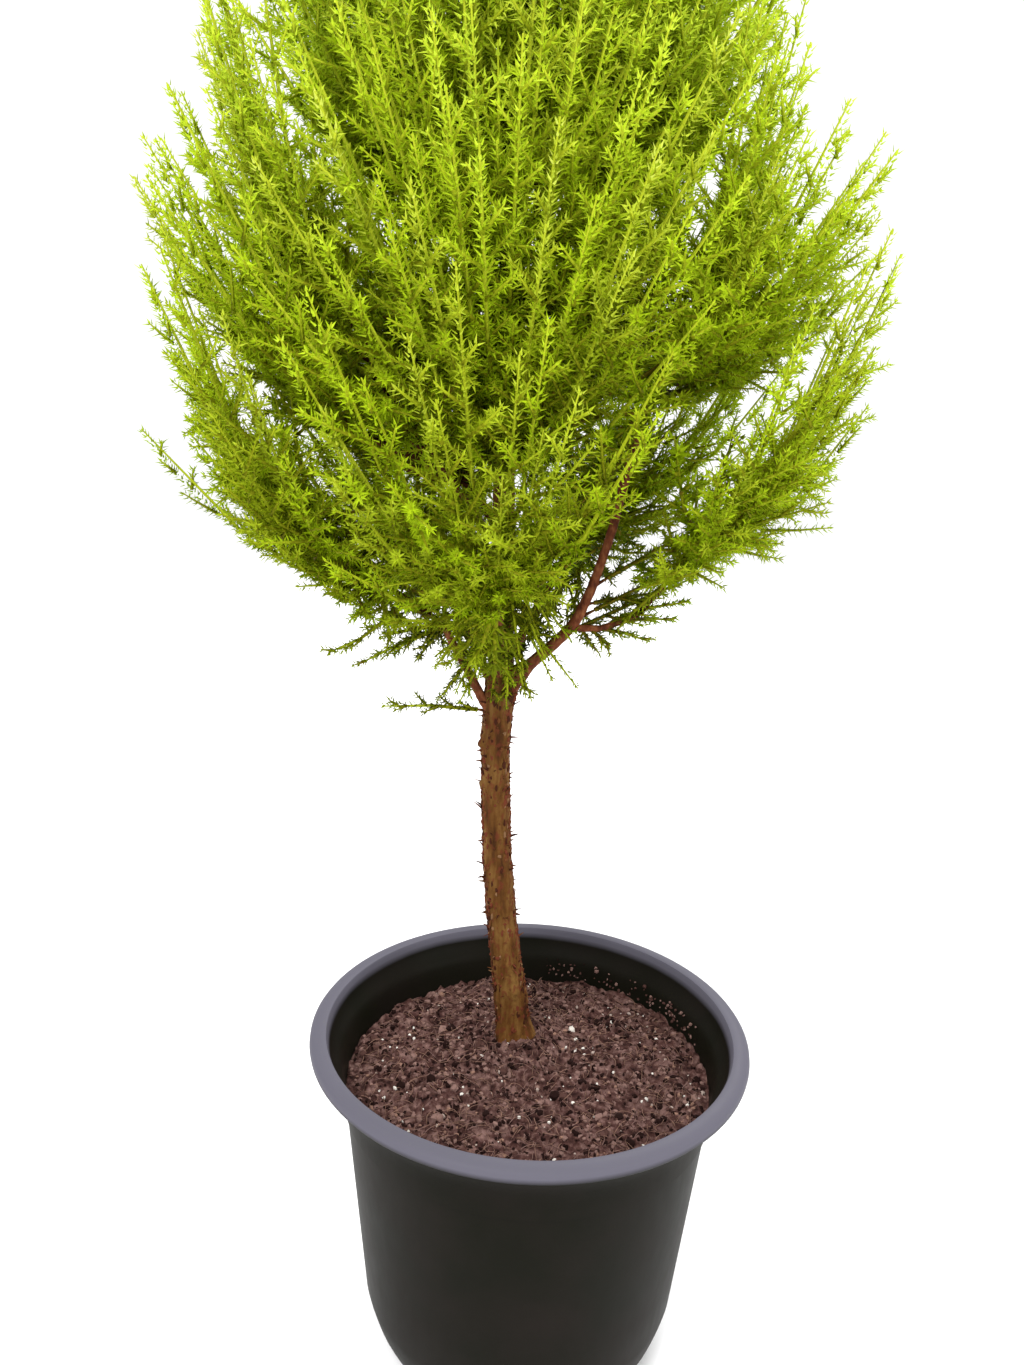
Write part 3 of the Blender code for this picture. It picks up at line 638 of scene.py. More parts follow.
def make_soil(finish):
    """A polar grid drawn in to the trunk's foot, with a skirt that goes down inside the pot."""
    rounds, rows = 260, 90
    bm = bmesh.new()
    bmesh.ops.create_grid(bm, x_segments=rounds, y_segments=rows, size=0.5)
    for corner in bm.verts:
        turn = (corner.co.x + 0.5) * math.tau
        row = round((corner.co.y + 0.5) * rows)
        if row == rows:
            corner.co = out_vector(turn) * soil_radius(SOIL_BOTTOM) + UP * SOIL_BOTTOM
            continue
        seat = Vector((TRUNK_FOOT.x, TRUNK_FOOT.y, 0)) + out_vector(turn) * 0.003
        place = seat.lerp(out_vector(turn) * soil_radius(SOIL_CENTRE), row / (rows - 1))
        corner.co = (place.x, place.y, soil_height(place.x, place.y))
    bmesh.ops.remove_doubles(bm, verts=bm.verts, dist=1e-6)
    bmesh.ops.holes_fill(bm, edges=[edge for edge in bm.edges if edge.is_boundary], sides=rounds)
    shown("mounded_mix", smooth_mesh("mounded_mix", bm, 60), [finish], "potting_mix", "soil")


def pebble():
    """The corners and triangles of one lumpy grain."""
    bm = bmesh.new()
    bmesh.ops.create_icosphere(bm, subdivisions=1, radius=1)
    bm.verts.ensure_lookup_table()
    corners = np.array([corner.co[:] for corner in bm.verts])
    faces = np.array([[corner.index for corner in face.verts] for face in bm.faces])
    bm.free()
    return corners, faces


def scattered(count, rng, reach=0.068):
    """Places on the mix, evenly spread, off the trunk."""
    radius = reach * np.sqrt(rng.random(count))
    turn = rng.random(count) * math.tau
    x, y = radius * np.cos(turn), radius * np.sin(turn)
    away = np.hypot(x - TRUNK_FOOT.x, y - TRUNK_FOOT.y)
    keep = away > 0.0085
    return np.array([(a, b, soil_height(a, b)) for a, b in zip(x[keep], y[keep])])


def grains(name, places, sizes, shades, finishes, rng):
    """Lumpy grains, each turned, stretched and half sunk at its place."""
    template, faces = pebble()
    count = len(places)
    lumps = template[None] * (1 + rng.uniform(-0.32, 0.32, (count, len(template), 1)))
    stretch = rng.uniform(0.6, 1.25, (count, 1, 3)) * sizes[:, None, None]
    turn = rng.random(count) * math.tau
    lumps = lumps * stretch
    x = lumps[..., 0] * np.cos(turn)[:, None] - lumps[..., 1] * np.sin(turn)[:, None]
    y = lumps[..., 0] * np.sin(turn)[:, None] + lumps[..., 1] * np.cos(turn)[:, None]
    corners = np.stack([x, y, lumps[..., 2]], axis=-1) + places[:, None]
    all_faces = faces[None] + (np.arange(count) * len(template))[:, None, None]
    shades = np.repeat(shades, len(faces))
    mesh = array_mesh(name, corners.reshape(-1, 3), all_faces.reshape(-1, 3), shades, False)
    shown(name, mesh, finishes, "potting_mix")


def dress_soil():
    rng = np.random.default_rng(SEED)
    browns = [
        plain("peat_crumb_dark", (0.014, 0.006, 0.005), 0.95, Specular_IOR_Level=0.05),
        plain("peat_crumb", (0.070, 0.034, 0.028), 0.95, Specular_IOR_Level=0.05),
        plain("peat_crumb_light", (0.200, 0.118, 0.100), 0.95, Specular_IOR_Level=0.05),
        plain("bark_chip", (0.230, 0.130, 0.095), 0.9, Specular_IOR_Level=0.05),
    ]
    places = scattered(CRUMBS, rng)
    sizes = rng.uniform(0.0004, 0.0011, len(places)) * np.where(rng.random(len(places)) < 0.06, 1.9, 1)
    shades = rng.choice(4, len(places), p=(0.40, 0.28, 0.28, 0.04))
    grains("peat_crumbs", places, sizes, shades, browns, rng)
    places = on_the_wall(CRUMBS_ON_WALL, rng)
    sizes = rng.uniform(0.0003, 0.0008, len(places))
    grains("crumbs_on_the_wall", places, sizes, rng.choice(3, len(places), p=(0.1, 0.5, 0.4)), browns, rng)
    white = [plain("perlite", (0.66, 0.62, 0.56), 0.8), plain("perlite_dusty", (0.36, 0.28, 0.24), 0.9)]
    places = scattered(PERLITE, rng)
    sizes = rng.uniform(0.0003, 0.0009, len(places))
    places = np.vstack([places, [(*LARGEST_PERLITE, soil_height(*LARGEST_PERLITE) + 0.0008)]])
    sizes = np.append(sizes, 0.0019)
    shades = (rng.random(len(places)) < 0.5).astype(int)
    shades[-1] = 0
    grains("perlite", places, sizes, shades, white, rng)
    fibres(rng, browns)


def on_the_wall(count, rng):
    """Places on the inside of the pot's wall, at its right and back, just above the mix."""
    turn = rng.uniform(0.25, 1.45, count)
    z = 0.1115 + 0.0070 * rng.random(count) ** 1.5
    radius = np.array([pot_inside(height) for height in z])
    return np.stack([radius * np.cos(turn), radius * np.sin(turn), z], axis=-1)


def fibres(rng, finishes):
    """Fine roots and peat fibres that lie on the mix."""
    places = scattered(FIBRES, rng, 0.066)
    curves = Curves()
    for place in places:
        turn = rng.random() * math.tau
        length = rng.uniform(0.002, 0.008)
        way = np.array((math.cos(turn), math.sin(turn), 0))
        side = np.array((-way[1], way[0], 0)) * rng.uniform(-0.4, 0.4)
        tip = place + way * length
        reach = math.hypot(tip[0], tip[1])
        if reach > 0.069:
            continue
        tip[2] = soil_height(tip[0], tip[1]) + rng.uniform(0.0002, 0.0020)
        start = place + (0, 0, 0.0003)
        bend = (start + tip) / 2 + side * length + (0, 0, rng.uniform(0, 0.0022))
        curves.add(start, bend, tip, 0.00016, rng.choice((0.3, 0.6, 0.9, 1.0)), 0.3)
    mesh = curves.tubes("peat_fibres", 5, len(finishes), 0.4)
    shown("peat_fibres", mesh, finishes, "potting_mix")


# Limbs

def along(points, share):
    """A point of a smooth curve through the given points, with its radius as a fourth number."""
    spot = share * (len(points) - 1)
    first = min(int(spot), len(points) - 2)
    t = spot - first
    before, a, b, after = (Vector(points[min(max(first + k, 0), len(points) - 1)]) for k in (-1, 0, 1, 2))
    square = 2 * before - 5 * a + 4 * b - after
    cube = 3 * a - before - 3 * b + after
    return a + 0.5 * ((b - before) * t + square * t**2 + cube * t**3)


class Limb:
    """A tapering limb: its stations, and where it is at a height."""

    def __init__(self, points, rings):
        line = [along(points, index / (rings - 1)) for index in range(rings)]
        self.middles = [station.xyz for station in line]
        self.radii = [station.w for station in line]

    def way(self, index):
        last = len(self.middles) - 1
        return (self.middles[min(index + 1, last)] - self.middles[max(index - 1, 0)]).normalized()

    def tip(self):
        return self.middles[-1]

    def at_height(self, z):
        for a, b in zip(self.middles, self.middles[1:]):
            if a.z <= z <= b.z:
                return a.lerp(b, (z - a.z) / (b.z - a.z))
        return self.middles[-1].copy()


def ring_axes(way):
    """Two unit vectors across a direction, the first of them level."""
    level = way.orthogonal() if abs(way.z) > 0.999 else way.cross(UP)
    level.normalize()
    return level, level.cross(way).normalized()


def carried_axes(limb):
    """Two vectors across the limb at each station, carried along it without a twist."""
    u = ring_axes(limb.way(0))[0]
    axes = []
    for index in range(len(limb.middles)):
        way = limb.way(index)
        u = (u - way * u.dot(way)).normalized()
        axes.append((u, u.cross(way)))
    return axes


def tube(limb, sides, relief):
    """A grid wrapped round a limb, with its bark's relief, closed at both ends."""
    rows = len(limb.middles) - 1
    axes = carried_axes(limb)
    bm = bmesh.new()
    bmesh.ops.create_grid(bm, x_segments=sides, y_segments=rows, size=0.5)
    for corner in bm.verts:
        turn = (corner.co.x + 0.5) * math.tau
        row = round((corner.co.y + 0.5) * rows)
        u, v = axes[row]
        out = u * math.cos(turn) + v * math.sin(turn)
        middle = limb.middles[row]
        radius = limb.radii[row]
        corner.co = middle + out * (radius + relief(middle + out * radius, out, row / rows))
    bmesh.ops.remove_doubles(bm, verts=bm.verts, dist=1e-7)
    bmesh.ops.holes_fill(bm, edges=[edge for edge in bm.edges if edge.is_boundary], sides=sides)
    return bm


def scars(rng):
    """Old leaf scars and knots of the stem: place on its skin, size and how far they stand out."""
    made = [(Vector(numbers[:3]), *numbers[3:]) for numbers in KNOTS]
    tall, lean, bow = STEM_LEAN
    for _ in range(SCARS):
        z = rng.uniform(*SCARRED)
        out = out_vector(rng.uniform(0, math.tau))
        share = min((z - TRUNK_FOOT.z) / tall, 1)
        middle = Vector((TRUNK_FOOT.x - lean * share**bow, TRUNK_FOOT.y, z))
        made.append((middle + out * STEM_RADIUS, rng.uniform(*SCAR_SIZES), rng.uniform(*SCAR_RISES)))
    return made


def trunk_relief(marks):
    def relief(place, out, share):
        ridge = noise.fractal(Vector((place.x * 420, place.y * 420, place.z * 60)), 1.0, 2.0, 4) * 0.00035
        low = max(0.0, 1 - (place.z - TRUNK_FOOT.z) / 0.012) ** 2
        turn = math.atan2(out.y, out.x)
        flare = 0.0022 * low * (0.55 + 0.45 * math.cos(3 * turn + 0.6))
        marked = 0.0
        for middle, size, height in marks:
            if abs(place.z - middle.z) > size:
                continue
            gone = (place - middle).length / size
            if gone < 1:
                marked += height * (1 - gone * gone) * (0.7 + 0.5 * math.sin(gone * 9))
        return ridge + flare + marked

    return relief


def bough_relief(place, out, share):
    return noise.fractal(place * 500, 1.0, 2.0, 3) * 0.00022


def bark_flakes(trunk, rng):
    """Loose scales of bark, longer up the stem than round it and most of them at its sides."""
    template, faces = pebble()
    blocks, shades = [], []

    def scale_at(place, out, size, shade):
        lumps = template * rng.uniform(0.7, 1.3, (len(template), 1)) * np.array(size)
        axes = np.array([out.cross(UP)[:], UP[:], out[:]])
        blocks.append(lumps @ axes + np.array(place[:]))
        shades.append(shade)

    heights = [station.z for station in trunk.middles]
    for number in range(FLAKES):
        z = rng.uniform(*FLAKED)
        side = math.pi * (number % 2) + rng.normal(0, FLAKE_SCATTER)
        out = out_vector(side if number % 5 else rng.uniform(0, math.tau))
        radius = np.interp(z, heights, trunk.radii)
        size = [rng.uniform(*span) for span in FLAKE_SIZES]
        scale_at(trunk.at_height(z) + out * radius, out, size, rng.choice(4, p=FLAKE_SHARES))
    for _ in range(FORK_FLAKES):
        z = rng.uniform(*FORK_FLAKED)
        out = out_vector(rng.uniform(-0.9, 0.7))
        size = rng.uniform(*FORK_FLAKE_SIZES, 3)
        scale_at(trunk.at_height(z) + out * STEM_RADIUS, out, size, rng.choice(2))
    corners = np.concatenate(blocks)
    all_faces = faces[None] + (np.arange(len(blocks)) * len(template))[:, None, None]
    shades = np.repeat(shades, len(faces))
    return array_mesh("bark_flakes", corners, all_faces.reshape(-1, 3), shades, False)


def leaf_stubs(trunk, rng):
    """Spiky stubs of old leaves and shoots all up the stem."""
    curves = Curves()
    for _ in range(LEAF_STUBS):
        z = rng.uniform(0.1160, 0.2620)
        out = out_vector(rng.uniform(0, math.tau))
        place = trunk.at_height(z) + out * 0.0048
        tip = place + (out + UP * rng.uniform(-0.3, 0.9)) * rng.uniform(*STUB_LENGTH)
        bend = (place + tip) / 2 + UP * 0.0002
        curves.add(place, bend, tip, rng.uniform(0.0003, 0.0007), rng.uniform(0, 0.7), 0.2)
    return curves.tubes("leaf_stubs", 4, 4, 0.3)


def dress_stem(trunk):
    rng = np.random.default_rng(SEED)
    flakes = [
        plain(name, colour, 0.9, Specular_IOR_Level=0.08)
        for name, colour in (
            ("bark_flake_dark", (0.045, 0.013, 0.006)),
            ("bark_flake_red", (0.120, 0.030, 0.014)),
            ("bark_flake", (0.115, 0.042, 0.014)),
            ("bark_flake_pale", (0.190, 0.100, 0.048)),
        )
    ]
    shown("bark_flakes", bark_flakes(trunk, rng), flakes, "bark")
    shown("leaf_stubs", leaf_stubs(trunk, rng), flakes, "bark")


def hidden_bough(trunk, degrees, height):
    start = trunk.at_height(height)
    out = out_vector(math.radians(degrees))
    first, last = HIDDEN_RADII
    points = []
    for share in (0.12, 0.4, 0.7, 1.0):
        place = start + out * HIDDEN_REACH * share + Vector((0, 0, HIDDEN_RISE * share**1.2))
        points.append((*place, first + (last - first) * share))
    return Limb(points, 24)


def grown(limb, run_on):
    """The limb with its foot run on into the limb that carries it."""
    way = limb.way(0)
    limb.middles.insert(0, limb.middles[0] - way * run_on)
    limb.radii.insert(0, limb.radii[0] * 1.15)
    return limb


# The crown

def out_vector(turn):
    return Vector((math.cos(turn), math.sin(turn), 0))


def crown_shape(z):
    """The crown's radius at a height, without its lumps."""
    if z < CROWN_WIDEST:
        share, (bulge, root) = (CROWN_WIDEST - z) / (CROWN_WIDEST - CROWN_FOOT), ROUND_BELOW
    else:
        share, (bulge, root) = (z - CROWN_WIDEST) / (CROWN_TOP - CROWN_WIDEST), ROUND_ABOVE
    return CROWN_RADIUS * max(0.0, 1 - max(share, 0.0) ** bulge) ** root


def crown_radius(z, turn):
    lump = 1 + LUMPS * math.sin(3 * turn + z * 55) * math.cos(2 * turn - z * 38 + 1)
    return crown_shape(z) * lump + sum(swell(z, turn, *numbers) for numbers in SWELLS)


def swell(z, turn, degrees, height, out, tall, wide):
    off = math.remainder(turn - math.radians(degrees), math.tau) / math.radians(wide)
    return out * math.exp(-(((z - height) / tall) ** 2) - off**2)


def on_crown(turn, radius, z):
    return CROWN_AXIS + out_vector(turn) * radius + Vector((0, 0, z))


def tip_on_crown(turn, height, slope, reach):
    """A point part of the way out to the crown's outline, along a line that climbs from its axis."""
    for step in range(160, 0, -1):
        radius = 0.001 * step
        if crown_radius(height + slope * radius, turn) >= radius:
            return on_crown(turn, radius * reach, height + slope * radius * reach)


class Curve:
    """A stem's or a plume's middle: it leaves its start low and turns up towards its tip."""

    def __init__(self, start, tip, sag):
        self.start, self.tip = start, tip
        run = tip - start
        flat = Vector((run.x, run.y, 0))
        self.bend = start + run * 0.5 + flat * sag * 0.5 - Vector((0, 0, run.length * sag))

    def at(self, t):
        return self.start * (1 - t) ** 2 + self.bend * 2 * t * (1 - t) + self.tip * t**2

    def way(self, t):
        return ((self.bend - self.start) * (1 - t) + (self.tip - self.bend) * t).normalized()


class Curves:
    """Many bent twigs as arrays.

    Each has a start, bend and tip, a radius, how light it is at its start and how much lighter at its tip.
    One that carries needles also has their size, how far apart their whorls are, and 1 if they are olive.
    """

    def __init__(self):
        self.rows = []

    def add(self, start, bend, tip, radius, light, gain, size=1.0, spacing=WHORL_SPACING, olive=0):
        self.rows.append((*start, *bend, *tip, radius, light, gain, size, spacing, olive))

    def unpack(self):
        table = np.array(self.rows)
        return table[:, 0:3], table[:, 3:6], table[:, 6:9], *table[:, 9:].T

    def tubes(self, name, rings, shades, taper):
        """Three-sided twigs, closed at both ends and thinner at their tips."""
        start, bend, tip, radius, light, gain, *_ = self.unpack()
        count = len(start)
        t = np.linspace(0, 1, rings)[None, :, None]
        middle = start[:, None] * (1 - t) ** 2 + bend[:, None] * 2 * t * (1 - t) + tip[:, None] * t**2
        way = (bend - start)[:, None] * (1 - t) + (tip - bend)[:, None] * t
        way /= np.linalg.norm(way, axis=-1, keepdims=True) + 1e-12
        u, v = across(way)
        size = radius[:, None, None] * (1 - (1 - taper) * t)
        turns = np.arange(3)[None, None, :, None] * math.tau / 3
        out = u[:, :, None] * np.cos(turns) + v[:, :, None] * np.sin(turns)
        corners = middle[:, :, None] + size[:, :, None] * out
        corners[:, -1] = middle[:, -1][:, None] + (corners[:, -1] - middle[:, -1][:, None]) * 0.6
        base = (np.arange(count) * rings * 3)[:, None]
        quads = []
        for ring in range(rings - 1):
            for side in range(3):
                a = ring * 3 + side
                b = ring * 3 + (side + 1) % 3
                quads.append((a, b, b + 3))
                quads.append((a, b + 3, a + 3))
        last = (rings - 1) * 3
        quads.append((2, 1, 0))
        quads.append((last, last + 1, last + 2))
        quads = np.array(quads)
        faces = base[:, :, None] + quads[None]
        share = np.clip(quads.min(axis=1) / 3 / (rings - 1), 0, 1)
        level = light[:, None] + gain[:, None] * share[None]
        shade = np.clip((level * shades).astype(int), 0, shades - 1)
        return array_mesh(name, corners.reshape(-1, 3), faces.reshape(-1, 3), shade.ravel(), True)

    def needles(self, name, shades, rng):
        """Whorls of keeled needles along every twig, spread wide at its foot and closing at its tip."""
        start, bend, tip, radius, light, gain, size, spacing, olive = self.unpack()
        length = np.linalg.norm(tip - start, axis=1)
        whorls = np.maximum(3, np.round(length / spacing)).astype(int)
        counts = whorls * NEEDLES_IN_WHORL
        owner = np.repeat(np.arange(len(start)), counts)
        first = np.repeat(np.cumsum(counts) - counts, counts)
        order = np.arange(len(owner)) - first
        whorl = order // NEEDLES_IN_WHORL
        t = ((whorl + 0.5) / whorls[owner] + rng.uniform(-0.3, 0.3, len(owner)) / whorls[owner])[:, None]
        middle = start[owner] * (1 - t) ** 2 + bend[owner] * 2 * t * (1 - t) + tip[owner] * t**2
        way = (bend - start)[owner] * (1 - t) + (tip - bend)[owner] * t
        way /= np.linalg.norm(way, axis=1, keepdims=True) + 1e-12
        u, v = across(way)
        turn = (whorl * 0.5 + order) * math.tau / NEEDLES_IN_WHORL + owner * 1.7
        turn = (turn + rng.uniform(-0.25, 0.25, len(owner)))[:, None]
        out = u * np.cos(turn) + v * np.sin(turn)
        side = np.cross(way, out)
        near_tip = np.clip((t - 0.80) / 0.20, 0, 1)
        spread = np.radians(rng.uniform(58, 80, (len(owner), 1))) * (1 - 0.40 * near_tip)
        reach = NEEDLE_LENGTH * size[owner][:, None] * rng.uniform(0.75, 1.15, (len(owner), 1))
        reach *= (1 - 0.30 * near_tip) * (0.65 + 0.35 * np.clip(t / 0.15, 0, 1))
        ray = way * np.cos(spread) + out * np.sin(spread)
        lift = -way * np.sin(spread) + out * np.cos(spread)
        foot = middle + out * radius[owner][:, None] * 0.7
        wide = side * NEEDLE_WIDTH / 2 * size[owner][:, None]
        keel = foot + lift * NEEDLE_WIDTH * 0.35
        point = foot + ray * reach + way * reach * 0.12
        corners = np.stack([foot + wide, keel, foot - wide, point], axis=1)
        base = (np.arange(len(owner)) * 4)[:, None, None]
        faces = base + np.array([[0, 1, 3], [1, 2, 3]])[None]
        # Each needle's step: its twig's painted shade and painted light, with a little random tone.
        level = light[owner] + gain[owner] * t[:, 0] + rng.uniform(-0.06, 0.06, len(owner))
        shade = np.clip((level * shades).astype(int), 0, shades - 1) + shades * olive[owner].astype(int)
        return array_mesh(name, corners.reshape(-1, 3), faces.reshape(-1, 3), np.repeat(shade, 2), False)


def across(way):
    """Two unit vectors across each of many directions."""
    u = np.cross(way, np.array((0.31, 0.23, 0.92)))
    u /= np.linalg.norm(u, axis=-1, keepdims=True) + 1e-12
    return u, np.cross(u, way)


class Mass:
    """One mass of foliage: its stem, and the twigs that carry its needles."""

    def __init__(self, name, tier, root, stem_tip, way_turn=None, number=None):
        self.name = name
        self.tier = tier
        self.stem = Curve(root, stem_tip, STEM_SAG)
        self.way_turn = way_turn
        self.number = number
        self.twigs = Curves()
        self.shoots = Curves()
        self.rng = random.Random(f"{SEED} {name}")

    def climb(self, tip):
        """How far up its tier a tip is, from 0 at the floor to 1 at the next tier's floor."""
        if self.number is None:
            return min(max((tip.z - 0.50) / 0.08, 0), 1)
        (low, low_slope), (high, high_slope) = FLOORS[self.number], FLOORS[self.number + 1]
        low = max(low, LOWEST_TIP)
        away = tip - CROWN_AXIS
        flat = Vector((away.x, away.y, 0)).dot(out_vector(self.way_turn))
        bottom = low + low_slope * flat
        return min(max((away.z - bottom) / max(high + high_slope * flat - bottom, 0.02), 0), 1)

    def plume(self, tip, depth=0.0, size=1.0):
        """A plume from the stem to a tip, unless it crosses the hollow. The inner ones are painted darker,
        as shade inside the crown.
        """
        climb = self.climb(tip)
        start = self.stem.at((0.15 if self.number is None else 0.25) + 0.65 * climb)
        curve = Curve(start, tip, 0.20 + 0.06 * climb)
        if any(in_hollow(curve.at(share)) for share in (0.3, 0.45, 0.6, 0.75)):
            return
        length = self.rng.uniform(*PLUME_LENGTH)
        light = self.rng.uniform(-0.08, 0.08) - depth
        olive = self.rng.random() < olive_share(tip.z)
        Plume(self, light, size, olive, self.rng).grow(curve, length)


class Plume:
    """A plume as it grows: its mass's twigs and needles, how light and large they are, and their kind."""

    def __init__(self, mass, light, size, olive, rng):
        self.shoots, self.twigs = mass.shoots, mass.twigs
        self.light, self.size, self.olive = light, size, olive
        self.rng = rng

    def grow(self, curve, length):
        """A bare stalk, then a leafy axis with shoots in two ranks. Every other one has twiglets."""
        run = (curve.tip - curve.start).length
        bare = max(LEAST_BARE, 1 - length / max(run, 1e-6))
        joint = bare + (1 - bare) * STALK_LAP
        bend = curve.start.lerp(curve.bend, joint)
        self.twigs.add(curve.start, bend, curve.at(joint), STALK_RADIUS, 0.0, 0.40)
        axis = (curve.at(bare), curve.bend.lerp(curve.tip, bare), curve.tip)
        self.twig(axis, AXIS_RADIUS, self.light + 0.02)
        leafy = run * (1 - bare)
        scale = min(leafy / PLUME_LENGTH[0], 1)
        count = max(4, int(leafy / SHOOT_SPACING / (0.4 + 0.6 * scale)))
        lean = self.rng.uniform(-0.35, 0.35)
        for number in range(count):
            share = (number + self.rng.uniform(0.25, 0.75)) / count
            spot = bare + (1 - bare) * share * 0.95
            place, way = curve.at(spot), curve.way(spot)
            u, v = ring_axes(way)
            turn = lean + self.rng.uniform(-0.55, 0.75)
            out = u * math.cos(turn) * (1 if number % 2 else -1) - v * math.sin(turn)
            reach = SHOOT_LENGTH * scale * self.rng.uniform(0.65, 1.15)
            reach *= min(0.55 + share * 1.8, 1.0) * (1 - share) ** 0.60
            end = self.shoot(place, way, out, max(reach, SHORTEST_SHOOT), share)
            if end is None or reach < TWIGLET_FROM or self.size > 1 or number % 2:
                continue
            first = (end - place).normalized()
            level = (way - first * way.dot(first)).normalized()
            for step, side in TWIGLETS:
                self.shoot(place.lerp(end, step), first, level * side, reach * TWIGLET_SHARE, 0.5)

    def shoot(self, place, way, out, reach, share):
        """A shoot that opens from its carrier and bends along it. Gives its tip, or None in the hollow."""
        open_angle = math.radians(self.rng.uniform(*SHOOT_ANGLES) * (1 - 0.22 * share))
        first = way * math.cos(open_angle) + out * math.sin(open_angle)
        bent = place + first * reach * 0.5
        end = bent + (first + way * 0.16 + UP * 0.06).normalized() * reach * 0.5
        if in_hollow(place) or in_hollow(end):
            return None
        self.twig((place, bent, end), SHOOT_RADIUS, self.light)
        return end

    def twig(self, line, radius, light):
        """One bent twig with its needles, in the painted shade of its place, and lighter towards its tip as
        painted light.
        """
        bottom, top = painted_shade_at(line[0]), painted_shade_at(line[2])
        gain = top - bottom
        spacing = WHORL_SPACING * self.size**1.5
        # The lift towards the tip, on top of the change in painted shade, is painted light on the tips.
        self.shoots.add(*line, radius, bottom + light - 0.03, gain + 0.12, self.size, spacing, self.olive)
        self.twigs.add(*line, radius, max(bottom, 0.52) + light / 2, gain + 0.16)


def painted_shade_at(place):
    """How light the foliage is painted at a place: painted shade near the crown's axis and low down,
    painted light further out and towards the top.
    """
    away = place - CROWN_AXIS
    radius = math.hypot(away.x, away.y)
    share = radius / max(crown_shape(min(max(place.z, 0.275), 0.57)), 0.03)
    climb = min(max((place.z - 0.27) / 0.20, 0), 1)
    deep = 0.05 + 0.72 * climb
    return deep + (0.47 + 0.41 * climb - deep) * min(max(share - 0.25, 0) / 0.75, 1) ** 1.2


def in_hollow(place):
    """True in the open space that the crown leaves round the right bough, towards its front."""
    away = place.z - 0.262
    return place.y < 0.014 and 0 < away < 0.066 and -0.006 + 0.30 * away < place.x < 0.012 + 0.42 * away


def olive_share(z):
    """How many of the plumes at a height are olive: most of them low down, few at the top."""
    return 0.75 - 0.65 * min(max((z - 0.28) / 0.18, 0), 1)


def hang_shoots(masses, trunk, carriers):
    """The small plumes low down: over the stem's top, on the low branches and behind the right bough."""
    rng = random.Random(SEED)
    count, turns, reaches, heights = HANGING_FAN
    for number in range(count):
        turn = math.radians(turns[0] + (turns[1] - turns[0]) * (number * 0.618034 % 1))
        z = heights[0] + (heights[1] - heights[0]) * (number + rng.random()) / count
        start = trunk.at_height(min(z + 0.024, 0.300))
        tip = Vector((start.x, start.y, z)) + out_vector(turn) * rng.uniform(*reaches)
        hang(masses["low_front"], start, tip, FAN_ARCH, rng.uniform(*FAN_LIGHT), rng)
    fork = carriers["low_left"].tip()
    for tip in LEFT_SPRIGS:
        hang(masses["low_left"], fork, tip, *LEFT_LOOK, rng)
    hang(masses["low_left"], Vector(LEFT_BOUGH[0][:3]), LOWEST_SPRIG, *LOWEST_LOOK, rng)
    for limb, stations, tips, look in (
        (carriers["low_right"], BRANCH_STATIONS, LOW_BRANCH_SPRIGS, BRANCH_LOOK),
        (carriers["middle_right"], BOUGH_STATIONS, BEHIND_BOUGH, BEHIND_LOOK),
    ):
        first, step = stations
        for number, tip in enumerate(tips):
            hang(masses["low_right"], limb.middles[first + number * step], tip, *look, rng)


def hang(mass, start, tip, arch, light, rng):
    """A small plume that rises in an arch from its start and bends down to its tip."""
    curve = Curve(start, Vector(tip), -arch)
    run = (curve.tip - curve.start).length
    Plume(mass, light, 1.0, rng.random() < 0.5, rng).grow(curve, run * 0.88)


def drawn_in(tip):
    """How far out a tip may stand: the crown keeps in low down, most of all at the front right."""
    away = tip - CROWN_AXIS
    low = min(max((0.352 - tip.z) / 0.06, 0), 1)
    right = max(0, math.cos(math.atan2(away.y, away.x) + 0.45))
    return 1 - 0.16 * low * right


def spread_tips(count, reach, rng):
    """Tips dealt evenly over the crown's outline: equal areas in height, and the golden angle round it."""
    steps = 400
    foot = CROWN_FOOT + 0.012
    heights = [foot + (CROWN_TOP - 0.004 - foot) * (step + 0.5) / steps for step in range(steps)]
    radii = [crown_shape(z) for z in heights]
    rise = heights[1] - heights[0]
    above = [max(z - CROWN_WIDEST, 0) / (CROWN_TOP - CROWN_WIDEST) for z in heights]
    areas = [
        a * math.hypot(rise, b - a) * (1 + DENSER_TOP * share)
        for a, b, share in zip(radii, radii[1:] + [0], above)
    ]
    total = sum(areas)
    gone, step = 0.0, 0
    for index in range(count):
        target = total * (index + 0.5) / count
        while gone + areas[step] < target:
            gone += areas[step]
            step += 1
        z = heights[step] + rng.uniform(-0.004, 0.004)
        turn = index * GOLDEN_TURN + rng.uniform(-0.06, 0.06)
        yield on_crown(turn, crown_radius(z, turn) * rng.uniform(*reach), z)


def make_masses(trunk, carriers):
    masses = {}
    for number, tier in enumerate(TIERS):
        (low, low_slope), (high, high_slope) = FLOORS[number], FLOORS[number + 1]
        for order, (sector, (degrees, lift)) in enumerate(SECTORS.items()):
            name = f"{tier}_{sector}"
            turn = math.radians(degrees)
            middle = (max(low, LOWEST_TIP) + high) / 2 + lift
            stem_tip = tip_on_crown(turn, middle, (low_slope + high_slope) / 2, STEM_REACH)
            if name in carriers:
                root = carriers[name].tip()
            else:
                root = trunk.at_height(low + lift + STEM_RISE[tier] + STEM_STAGGER * (order * 2 % 3))
            masses[name] = Mass(name, tier, root, stem_tip, turn, number)
    masses["top"] = Mass("top", "top", trunk.tip(), on_crown(0, 0, CROWN_TOP - TOP_STEM_DROP))
    return masses


